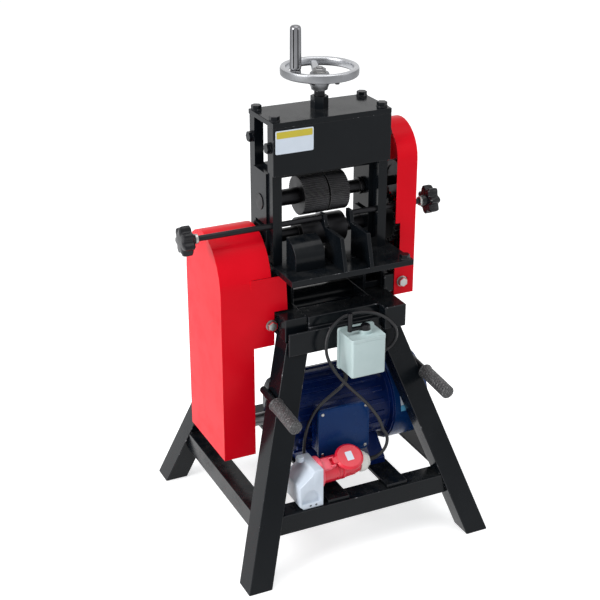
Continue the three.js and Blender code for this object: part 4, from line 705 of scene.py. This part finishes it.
supply_lead = tube("supply_lead", supply_line, LEAD)
dress(supply_lead, cable_rubber, replaces=["supply_cable"])
bend_sleeve("switch_side_sleeve", supply_line)
bend_sleeve("plug_sleeve", supply_line[::-1])

motor_lead = tube("motor_lead", motor_line, LEAD)
dress(motor_lead, cable_rubber, replaces=["motor_cable"])
bend_sleeve("switch_foot_sleeve", motor_line)
bend_sleeve("terminal_sleeve", motor_line[::-1])


# Stand

for node in ("leg_front_left", "leg_front_right", "leg_rear_left", "leg_rear_right", "beam_left", "beam_right",
             "cross_beam_front", "cross_beam_rear"):
    softened(node, painted, 2.2, 3)
for node in ("rail_front", "rail_rear", "rail_left", "rail_right", "motor_bar_left", "motor_bar_right",
             "pedestal_left", "pedestal_right"):
    softened(node, painted, 1.2)
softened("cross_tube", painted, 0.8)
for side in ("left", "right"):
    softened("pillow_block_" + side, painted, 1.2)

BEAD_SIZE, BEAD_RIPPLE, BEAD_DIP, BEAD_END = 3.2, 2.1, 0.84, 0.35
BEAD_HEIGHT, BEAD_FROM, BEAD_TO, BEAD_OUT = 141, 4, 44, 1  # over the floor, along the rail, and off the leg
RAIL_TOP, STAND_TOP = 140, 480
LEG_HALF_X, LEG_SPREAD_X, LEG_WIDE_X = 131, 0.327, 52.6  # at the top, for each mm down, and the tube's level width
LEG_HALF_Y, LEG_SPREAD_Y, LEG_WIDE_Y = 122, 0.313, 52.4


def weld_bead(name, start, end):
    """A ripple of weld metal in the corner between two tubes, painted over."""
    start, end = Vector(start) * MM, Vector(end) * MM
    count = max(4, round((end - start).length / (BEAD_RIPPLE * MM)))
    line = [start.lerp(end, i / count) for i in range(count + 1)]
    swell = [BEAD_END] + [1 if i % 2 else BEAD_DIP for i in range(1, count)] + [BEAD_END]
    bead = tube(name, line, BEAD_SIZE * 2, swell)
    as_mesh(bead)
    dress(bead, black_paint)


leg_x = LEG_HALF_X + LEG_SPREAD_X * (STAND_TOP - RAIL_TOP)
leg_y = LEG_HALF_Y + LEG_SPREAD_Y * (STAND_TOP - RAIL_TOP)
for sx, left_right in ((-1, "left"), (1, "right")):
    for sy, front_rear in ((-1, "front"), (1, "rear")):
        name = "weld_%s_%s" % (front_rear, left_right)
        inner_x = sx * (leg_x - LEG_WIDE_X) + MACHINE_X - sx * BEAD_OUT
        inner_y = sy * (leg_y - LEG_WIDE_Y) - sy * BEAD_OUT
        weld_bead(name + "_rail", (inner_x, sy * (leg_y - BEAD_FROM), BEAD_HEIGHT),
                  (inner_x, sy * (leg_y - BEAD_TO), BEAD_HEIGHT))
        weld_bead(name + "_side_rail", (sx * (leg_x - BEAD_FROM) + MACHINE_X, inner_y, BEAD_HEIGHT),
                  (sx * (leg_x - BEAD_TO) + MACHINE_X, inner_y, BEAD_HEIGHT))

ROD_SHARE, ROD_GAP = 0.6, 0.0005  # where the grip ends along the handle, and the band left plain there

for side in ("left", "right"):
    grip = softened("push_handle_" + side, [rubber], 0.6)
    low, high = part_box("push_handle_" + side)
    rod = low.y + (high.y - low.y) * ROD_SHARE
    coat_where(grip, black_paint, lambda face: face.calc_center_median().y > rod + ROD_GAP)
    coat_where(grip, grip_rubber, lambda face: face.calc_center_median().y <= rod)


# Head

for node in ("side_plate_left", "side_plate_right", "base_plate", "front_plate", "front_shield"):
    softened(node, painted, 1)
softened("top_plate", painted, 0.9)
for node in ("lower_block_left", "lower_block_right", "lift_carriage"):
    softened(node, painted, 0.8)
for node in ("guide_left", "guide_right"):
    softened(node, painted, 0.8)

# The label on the front plate, a blank film with a yellow head: two corners, how round it is, and its coat
FILMS = [("front_label", (-107, -64.45, 866), (-24, -63.9, 914), 3, 4, label_white),
         ("front_label_head", (-104.5, -64.75, 898), (-26.5, -64.35, 911.5), 1.6, 3, label_yellow)]
for name, low, high, corner, steps, coat in FILMS:
    film = block(name, low, high)
    round_edges(film, corner, steps, along_axis(1))
    finished(film, coat)


# Lift: screw, handwheel and its handle

softened("lift_screw", [blackened, tooth_edge], 1)

THREAD_RADIUS, THREAD_TOP, THREAD_PITCH, THREAD_TURNS, THREAD_STEPS, THREAD_RIDGE = 10.3, 958.5, 2.5, 14, 24, 1.5
WHEEL = (MACHINE_X, 0, 1008)
RIM_RADIUS, RIM_HALF_WIDTH, RIM_HALF_HEIGHT, RIM_STEPS = 74, 5.9, 8.9, 28
RIM_SIDE, RIM_CROWN = 0.42, 0.5  # 1 is a round section, less is squarer
SPOKES, FIRST_SPOKE = 3, 74  # degrees
ARM_LOW, ARM_HIGH, ARM_RISE = (MACHINE_X + 13, -9, 978), (MACHINE_X + 71, 9, 994), 20
ARM_END, ARM_END_SIZE = (MACHINE_X + 71, 0, 1006), (1, 0.8, 0.72)
HANDLE_REACH, HANDLE_TURN = 62, math.radians(14)
HANDLE_FOOT = (MACHINE_X - HANDLE_REACH * math.cos(HANDLE_TURN), -HANDLE_REACH * math.sin(HANDLE_TURN), WHEEL[2])
GRIP_PROFILE = [(10.4, 9.4), (11.6, 11), (15, 11.5), (16, 11.6), (60, 11.4), (91, 11.1), (92, 11.1), (95, 10.5),
                (97.2, 8.8), (98.4, 6.2), (98.8, 3)]
FLUTE_FROM, FLUTE_TO, FLUTE_TURN, FLUTE_SHARE = 15.5, 91.5, 45, 0.8  # the share of the radius left in a flute
# What is turned on the wheel's axis: name, profile, sides, slot, coat and the angle that stays smooth
WHEEL_FITTINGS = [
    ("handwheel_hub", [(-39.6, 15.8), (-39, 16.8), (-34, 18), (-30, 19.6), (-24, 20), (-8, 20), (-5.4, 19),
                       (-4.2, 17)], 56, "chrome", aluminium, 30),
    ("handwheel_washer", [(-4.6, 13.4), (-2.8, 13.4), (-2.4, 12.9)], 40, "chrome", zinc, 30),
    ("handwheel_nut", [(-2.8, 12.4), (-2.2, 12.9), (3, 12.9), (4.2, 11.4)], 6, "bare_steel", bare_steel, 25),
    ("handwheel_stud", [(4, 7.2), (5.8, 7.2), (6.6, 6.4)], 32, "bare_steel", bare_steel, 30)]


def lift_thread():
    """The screw's thread, seen under the wheel, as a wound ridge."""
    line = []
    for i in range(THREAD_STEPS * THREAD_TURNS):
        turn = i * math.tau / THREAD_STEPS
        line.append(Vector((MACHINE_X + THREAD_RADIUS * math.cos(turn), THREAD_RADIUS * math.sin(turn),
                            THREAD_TOP - i * THREAD_PITCH / THREAD_STEPS)) * MM)
    ridge = tube("lift_thread", line, THREAD_RIDGE, around=1)
    as_mesh(ridge)
    dress(ridge, tooth_edge, "handwheel")


def rim_section():
    section = []
    for i in range(RIM_STEPS):
        turn = i * math.tau / RIM_STEPS
        c, s = math.cos(turn), math.sin(turn)
        out = RIM_HALF_WIDTH * math.copysign(abs(c) ** RIM_SIDE, c)
        rise = RIM_HALF_HEIGHT * math.copysign(abs(s) ** RIM_CROWN, s)
        section.append((rise, RIM_RADIUS + out))
    return section


def handwheel():
    rim = turned("handwheel_rim", rim_section(), WHEEL, "Z", 96, closed=True)
    finished(rim, aluminium, 60, "handwheel", ["handwheel"])
    centre = Vector(WHEEL) * MM

    # These faces, the rim's upward and inward side where the light falls, take the lighter aluminium: a painted
    # highlight.
    def polished(face):
        outward = face.calc_center_median() - centre
        outward.z = 0
        return face.normal.z > 0.35 or (face.normal.z > -0.2 and face.normal.dot(outward) < 0)

    coat_where(rim, aluminium_painted_highlight, polished)
    for name, profile, sides, slot, coat, smooth in WHEEL_FITTINGS:
        fitting(name, profile, WHEEL, "Z", sides, coat, smooth, "handwheel")
    arm = block("spoke_start", ARM_LOW, ARM_HIGH)
    open_mesh(arm)
    pick("FACE", facing((1, 0, 0)))
    moved(z=ARM_RISE)
    bpy.ops.transform.resize(value=ARM_END_SIZE, center_override=Vector(ARM_END) * MM)
    close_mesh()
    round_edges(arm, 3.4, 4, lambda edge: not along_axis(1)(edge) and not along_axis(2)(edge))
    # The spokes take the lighter aluminium all over, as painted highlight.
    for i in range(SPOKES):
        turn = math.radians(FIRST_SPOKE + i * 360 // SPOKES)
        spoke = copied(arm, "handwheel_spoke_%d" % (i + 1), turn_about((MACHINE_X, 0, 0), turn, "Z"))
        finished(spoke, aluminium_painted_highlight, 40, "handwheel")
    bpy.data.objects.remove(arm)
    fitting("handle_boss", [(-6, 10), (-4, 11), (8.6, 11), (9.8, 10)], HANDLE_FOOT, "Z", 40, aluminium,
            body="handwheel")


def wheel_handle():
    """The revolving grip: a slim barrel with eight flutes, painted dark in their depth as shade."""
    grip = turned("handwheel_grip", GRIP_PROFILE, HANDLE_FOOT, "Z", 64)
    centre = Vector(HANDLE_FOOT) * MM

    def near_flute(x, y, height, degrees):
        turn = math.degrees(math.atan2(y, x)) % FLUTE_TURN
        return FLUTE_FROM * MM < height < FLUTE_TO * MM and min(turn, FLUTE_TURN - turn) < degrees

    def in_flute(vert):
        return near_flute(vert.co.x, vert.co.y, vert.co.z + grip.location.z - centre.z, 1)

    def shaded_flute_face(face):
        middle = face.calc_center_median() - centre
        return near_flute(middle.x, middle.y, middle.z, 5)

    open_mesh(grip)
    pick("VERT", in_flute)
    bpy.ops.transform.resize(value=(FLUTE_SHARE, FLUTE_SHARE, 1), center_override=centre)
    close_mesh()
    finished(grip, chrome, 50, "wheel_handle", ["wheel_handle"])
    # The flutes take blackened steel as painted shade in their grooves.
    coat_where(grip, blackened, shaded_flute_face)


lift_thread()
handwheel()
wheel_handle()
fitting("rim_lock_screw", [(-11.6, 4.2), (-11, 4.8), (-8.2, 4.8), (-7.4, 4.2)],
        (MACHINE_X + 2.6, -73.5, WHEEL[2]), "Z", 24, screw_dark, body="handwheel")


# Feed rollers, shafts, blade and drive

dark_steel = [blackened, tooth_edge]
for node in ("feed_roller_left", "feed_roller_right"):
    softened(node, dark_steel, 0.55, 1, angle=30)
for node in ("upper_shaft", "blade_shaft"):
    softened(node, dark_steel, 0.5, 1)
softened("jackshaft", [bare_steel], 0.6, 1)
softened("jackshaft_pulley", painted, 0.8, 1)
softened("cutting_blade", [chrome], 0.15, 1)
softened("drive_chain", dark_steel, 0.5, 1)
for node in ("drive_belt_1", "drive_belt_2"):
    softened(node, [rubber], 0.8, 1)


# Guide screws and star knobs

KNOB_Y, KNOB_Z, KNOB_HALF = -46, 711, 12
LOBES, LOBE_STEPS, LOBE_DIP, LOBE_FROM = 7, 12, 0.13, 16
KNOB_PROFILE = [(-12, 27.5), (-9.5, 31), (-2, 31.4), (6, 31.2), (10, 29.6), (12, 24), (12.6, 14)]
COLLAR_PROFILE = [(11, 12.4), (14, 11.8), (18, 10.6), (22, 9.6), (23.8, 9)]
BUSH_PROFILE = [(20.5, 9.9), (21.5, 10.2), (25.4, 10.2), (26.4, 9.4)]
ROD_START, ROD_RADIUS, ROD_CHAMFER, ROD_TIP = 10, 5.95, 1.2, 5


def star_knob(side, knob_x, along, inward, rod_end):
    """A seven-lobed knob with a domed face, its collar and bush, and the threaded screw it turns."""
    body = "guide_screw_" + side
    at = (knob_x, KNOB_Y, KNOB_Z)
    sides = LOBES * LOBE_STEPS
    knob = turned("knob_" + side, KNOB_PROFILE, at, along, sides)
    open_mesh(knob)
    for phase in range(LOBE_STEPS):
        dip = 1 - LOBE_DIP + LOBE_DIP * math.cos(phase * math.tau / LOBE_STEPS)

        def on_phase(vert):
            turn = math.atan2(vert.co.y, vert.co.x) % (math.tau / LOBES)
            step = round(turn / (math.tau / sides)) % LOBE_STEPS
            return step == phase and Vector((vert.co.x, vert.co.y)).length > LOBE_FROM * MM
        pick("VERT", on_phase)
        bpy.ops.transform.resize(value=(1, dip, dip), center_override=Vector(at) * MM)
    close_mesh()
    finished(knob, knob_plastic, 35, body, [body])
    length = abs(rod_end - knob_x)
    rod = [(ROD_START, ROD_RADIUS), (length - ROD_CHAMFER, ROD_RADIUS), (length, ROD_TIP)]
    for name, profile, sides, slot, coat in (("knob_collar_", COLLAR_PROFILE, 40, "rubber", knob_plastic),
                                             ("knob_bush_", BUSH_PROFILE, 36, "bare_steel", zinc),
                                             ("guide_rod_", rod, 28, "black_paint", blackened)):
        fitting(name + side, profile, at, inward, sides, coat, 35, body)


low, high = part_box("guide_screw_left")
star_knob("left", low.x / MM + KNOB_HALF, "-X", "X", high.x / MM)
low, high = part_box("guide_screw_right")
star_knob("right", high.x / MM - KNOB_HALF, "X", "-X", low.x / MM)


# Guards

GUARD_SIDE, GUARD_REACH, GUARD_RISE = -163.98, 41, 1.2
GUARD_FOOT, FOOT_DROP = 611.3, 0.3  # the arch starts just over the flap, and comes down to it in front


def arched_top(piece):
    """Carries the guard's arch on to the head, over the end of the base plate, and crowns it."""
    foot, side = GUARD_FOOT * MM, GUARD_SIDE * MM

    def above_flap(face):
        middle = face.calc_center_median()
        return face.normal.x > 0.9 and abs(middle.x - side) < MM and middle.z > foot

    open_mesh(piece)
    pick_all()
    bpy.ops.mesh.bisect(plane_co=(0, 0, foot), plane_no=(0, 0, 1))
    pick("FACE", above_flap)
    bpy.ops.mesh.extrude_region_move(TRANSFORM_OT_translate={"value": (GUARD_REACH * MM, 0, 0)})
    pick("VERT", lambda vert: vert.co.z > foot + 0.2 * MM)
    bpy.ops.transform.resize(value=(1, 1, GUARD_RISE), center_override=(0, 0, foot))
    pick("VERT", lambda vert: abs(vert.co.z - foot) < 0.1 * MM and vert.co.x > side + MM and vert.co.y < 0)
    moved(z=-FOOT_DROP)
    close_mesh()


def guard_bolt(name, x, y, z):
    """A zinc hexagon bolt with a round washer face, over the guard's own bolt."""
    fitting(name + "_washer", [(-0.2, 12.1), (2, 12.1), (2.4, 11.6)], (x, y, z), "-Y", 40, zinc)
    head = turned(name + "_head", [(2.2, 10.6), (2.5, 11.3), (8.6, 11.3), (10.3, 9.2)], (x, y, z), "-Y", 6)
    bevel_edges(head, 0.5, 2, 30)
    finished(head, zinc, 25)


softened("belt_guard", (red_paint, red_edge), 1.1, 3, shape=arched_top)
softened("chain_guard", (red_paint, red_edge), 1.1, 3)


# Motor

softened("motor_body", (blue_paint, blue_edge), 0.9)
softened("fan_cowl", (blue_lid, blue_edge), 0.6)
softened("motor_rotor", [bare_steel], 0.5, 1)

BASE_LOW, BASE_HIGH = (-52, -151.5, 214), (62, -119.4, 322)
LID_LOW, LID_HIGH = (-55, -159.2, 211), (65, -150.3, 325)
LID_STEPS = ((2.2, 0.9), (1.2, -0.9))  # how far in, and how far back
CORNER_SCREWS = ((0, -46, 316), (2, 56, 316), (3, -46, 220), (4, 56, 220))  # number in the name, X and Z
TERMINAL_GLAND = [(0, 9.4), (1, 11.6), (8, 11.8), (9, 11.9), (14.4, 11.9)]


def terminal_box():
    """The motor's terminal box: a cast box, its proud lid with a stepped rim, and four corner screws."""
    base = block("terminal_base", BASE_LOW, BASE_HIGH)
    round_edges(base, 8, 4, along_axis(1))
    round_edges(base, 1.2, 2, lambda edge: not along_axis(1)(edge) and edge.calc_length() > 10 * MM)
    finished(base, blue_paint, 35, replaces=["terminal_box"])
    lid = block("terminal_lid", LID_LOW, LID_HIGH)
    round_edges(lid, 10, 5, along_axis(1))
    open_mesh(lid)
    pick("FACE", facing((0, -1, 0)))
    for inward, back in LID_STEPS:
        bpy.ops.mesh.inset(thickness=inward * MM)
        moved(y=back)
    close_mesh()
    bevel_edges(lid, 0.8, 3, 30)
    finished(lid, blue_lid, 35)
    for number, x, z in CORNER_SCREWS:
        fitting("terminal_screw_%d" % number, [(0, 3.6), (1.6, 3.6), (2.5, 2.6)], (x, -158.2, z), "-Y", 24,
                zinc)
    fitting("terminal_gland", TERMINAL_GLAND, (-36 + MACHINE_X, -144, 200), "Z", 12, knob_plastic, 25)


COWL_Y, COWL_Z, COWL_RADIUS = -25, 260, 102.5
COWL_LABEL_START, COWL_LABEL_END = 161, 214
FILM_GAP, FILM_THICK = 0.35, 0.4
# The white film above and the light blue one below: from and to which turn about the cowl, in degrees
COWL_FILMS = (("cowl_label", 136, 172, label_white), ("cowl_label_foot", 172.4, 180, label_blue))


def cowl_label():
    """The blank plate on the cowl, curved to the shell."""
    x0, x1 = COWL_LABEL_START, COWL_LABEL_END
    reach = (COWL_RADIUS + FILM_GAP) * MM
    for name, start, end, coat in COWL_FILMS:
        plate = added(name, bpy.ops.mesh.primitive_plane_add, size=1, location=((x0 + x1) / 2 * MM, 0, 0))
        open_mesh(plate)
        pick_all()
        bpy.ops.transform.resize(value=((x1 - x0) * MM, (end - start) / 360, 1))
        bpy.ops.mesh.subdivide(number_cuts=11)
        mesh = bmesh.from_edit_mesh(plate.data)
        for vert in mesh.verts:
            turn = math.radians((start + end) / 2 + vert.co.y * 360)
            vert.co = (vert.co.x, COWL_Y * MM + reach * math.cos(turn), COWL_Z * MM + reach * math.sin(turn))
        bmesh.update_edit_mesh(plate.data)
        close_mesh()
        apply_modifier(plate, "SOLIDIFY", thickness=FILM_THICK * MM, offset=0)
        finished(plate, coat)


terminal_box()
cowl_label()


# Switch

CASE_X, CASE_Y, CASE_Z = (0, 78), (-199.7, -141.5), (410, 496)
LID_DEPTH, LID_LAP, LID_OVER = 8, 0.4, 0.6
SIDE_GLAND = [(0, 8.8), (5, 8.9), (6.6, 7.6)]
FOOT_GLAND = [(0, 8.8), (8, 8.9), (9.6, 7.6)]


def switch_box():
    """The drum switch: a moulded box with rounded corners, a shallow lid on top and a plate at the back."""
    (x0, x1), (y0, y1), (z0, z1) = CASE_X, CASE_Y, CASE_Z
    box = block("switch_case", (x0, y0, z0), (x1, y1, z1 - LID_DEPTH))
    round_edges(box, 5, 5, along_axis(2))
    bevel_edges(box, 1.6, 3, 40)
    finished(box, switch_white, 35, replaces=["switch_box"])
    lid = block("switch_lid", (x0 - LID_OVER, y0, z1 - LID_DEPTH - LID_LAP), (x1 + LID_OVER, y1 - LID_LAP, z1))
    round_edges(lid, 5.4, 5, along_axis(2))
    open_mesh(lid)
    pick("FACE", facing((0, 0, 1)))
    bpy.ops.mesh.inset(thickness=2.4 * MM)
    moved(z=-1.2)
    close_mesh()
    bevel_edges(lid, 0.9, 3, 30)
    finished(lid, switch_white, 35)
    plate = block("switch_back_plate", (x0 - 3, -142.2, z0 - 4), (x1 + 3, -135.8, z1 + 4))
    round_edges(plate, 5, 4, along_axis(1))
    bevel_edges(plate, 0.8, 2, 40)
    finished(plate, switch_white, 35)
    fitting("switch_hub", [(-2, 12.6), (2, 13), (5, 13), (6, 12.2)], (25.24 + MACHINE_X, -169.02, z1), "Z", 40,
            switch_white)
    fitting("switch_side_gland", SIDE_GLAND, (78.4, -149.74, 432), "X", 12, knob_plastic, 25)
    fitting("switch_foot_gland", FOOT_GLAND, (-8 + MACHINE_X, -149.74, 409.8), "-Z", 12, knob_plastic, 25)


switch_box()
softened("switch_lever", [knob_plastic], 1.4, 3)


# Supply socket

HOUSING_LOW, HOUSING_HIGH = (-129.9, -224.3, 140.4), (-75, -148.5, 227.9)
WEDGE_CUTS, WEDGE_DROPS, WEDGE_FROM = (-96, -99), ((-97, -9), (-110, -25)), 180
CORNER_X, CORNER_Z, CORNER_CUT = -100, 150, 9
RECESS_AT, RECESS_STRETCH = (-103, -229, 153), 1.35
SOCKET_TILT = math.radians(31)
FLANGE_PROFILE = [(-1, 34), (0.4, 34.2), (5.4, 34.2), (7, 32.6)]
BARREL_PROFILE = [(0, 26.9), (30, 26.9), (31, 26.2), (33, 26.2), (34, 26.9), (37.4, 26.9), (38, 26.2)]
# The hinge's block and its two ears, from corner to corner, measured from the plug's axis
HINGE = [("hinge_block", (-68.4, -14, 20), (-48.2, 14, 29.2)),
         ("hinge_ear_front", (-49.8, -11.4, 22), (-38.8, -7.6, 32.8)),
         ("hinge_ear_back", (-49.8, 7.6, 22), (-38.8, 11.4, 32.8))]


def socket_box():
    """The wall socket's white housing: a wedge with a cut corner, and a half-round recess with two screws."""
    housing = block("socket_housing", HOUSING_LOW, HOUSING_HIGH)
    open_mesh(housing)
    for step in WEDGE_CUTS:
        pick_all()
        bpy.ops.mesh.bisect(plane_co=(step * MM, 0, 0), plane_no=(1, 0, 0))
    for reach, drop in WEDGE_DROPS:
        pick("VERT", lambda vert: vert.co.x < reach * MM and vert.co.z > WEDGE_FROM * MM)
        moved(z=drop)
    pick("EDGE", lambda edge: along_axis(1)(edge) and edge.verts[0].co.x < CORNER_X * MM
         and edge.verts[0].co.z < CORNER_Z * MM)
    bpy.ops.mesh.bevel(offset=CORNER_CUT * MM, segments=1, affect="EDGES")
    close_mesh()
    recess = turned("recess", [(0, 24), (12, 19)], RECESS_AT, "Y", 48)
    middle = Vector(RECESS_AT) * MM
    open_mesh(recess)
    pick_all()
    bpy.ops.transform.resize(value=(1, 1, RECESS_STRETCH), center_override=middle)
    bpy.ops.mesh.bisect(plane_co=(0, 0, middle.z), plane_no=(0, 0, 1), use_fill=True, clear_inner=True)
    close_mesh()
    bpy.ops.object.transform_apply(location=True, rotation=True, scale=True)
    apply_modifier(housing, "BOOLEAN", operation="DIFFERENCE", object=recess, solver="EXACT")
    bpy.data.objects.remove(recess)
    bevel_edges(housing, 1.8, 3, 25)
    finished(housing, socket_white, 35, replaces=["supply_socket"])
    for i, x in enumerate((-105, -92)):
        fitting("socket_screw_%d" % (i + 1), [(-0.5, 2.9), (0, 2.9), (0.2, 2.4)], (x, -224.1, 147), "-Y", 24,
                screw_dark)
    # The flange here and the hinge below take the lighter red, as painted highlight.
    fitting("socket_flange", FLANGE_PROFILE, (-75, PLUG_Y, PLUG_Z), "X", 64, plug_red_painted_lit)
    fitting("socket_barrel", BARREL_PROFILE, (-69, PLUG_Y, PLUG_Z), "X", 64, plug_red)
    fitting("socket_gland", [(0, 8.8), (8, 8.9), (9.8, 7.6)], (-105, -171.4, 227.6), "Z", 12,
            socket_white, 25)
    for name, low, high in HINGE:
        piece = block(name, PLUG_AXIS + Vector(low), PLUG_AXIS + Vector(high))
        round_edges(piece, 1.2, 3)
        piece.matrix_world = turn_about(PLUG_AXIS, SOCKET_TILT, "X")
        finished(piece, plug_red_painted_lit, 40)


socket_box()
softened("socket_lid", [plug_red], 0.9, 3)

HINGE_X, LID_RISE, LID_LEAN = -61.64 + MACHINE_X, 29, math.radians(-5)


def lid_label():
    """The blank plate that lies turned on the lid's top."""
    plate = block("lid_label", (28.5, -10.5, 6.9), (43.5, 10.5, 7.3))
    round_edges(plate, 1.5, 3, along_axis(2))
    hinge = Matrix.Translation(Vector((HINGE_X, PLUG_Y, PLUG_Z)) * MM) @ Matrix.Rotation(SOCKET_TILT, 4, "X")
    raised = Matrix.Translation(Vector((0, 0, LID_RISE)) * MM) @ Matrix.Rotation(LID_LEAN, 4, "Y")
    plate.matrix_world = hinge @ raised
    finished(plate, label_white, body="socket_lid")


lid_label()

guard_bolt("belt_guard_bolt", -145 + MACHINE_X, -76, 505)
guard_bolt("chain_guard_bolt", 168 + MACHINE_X, -64, 542)
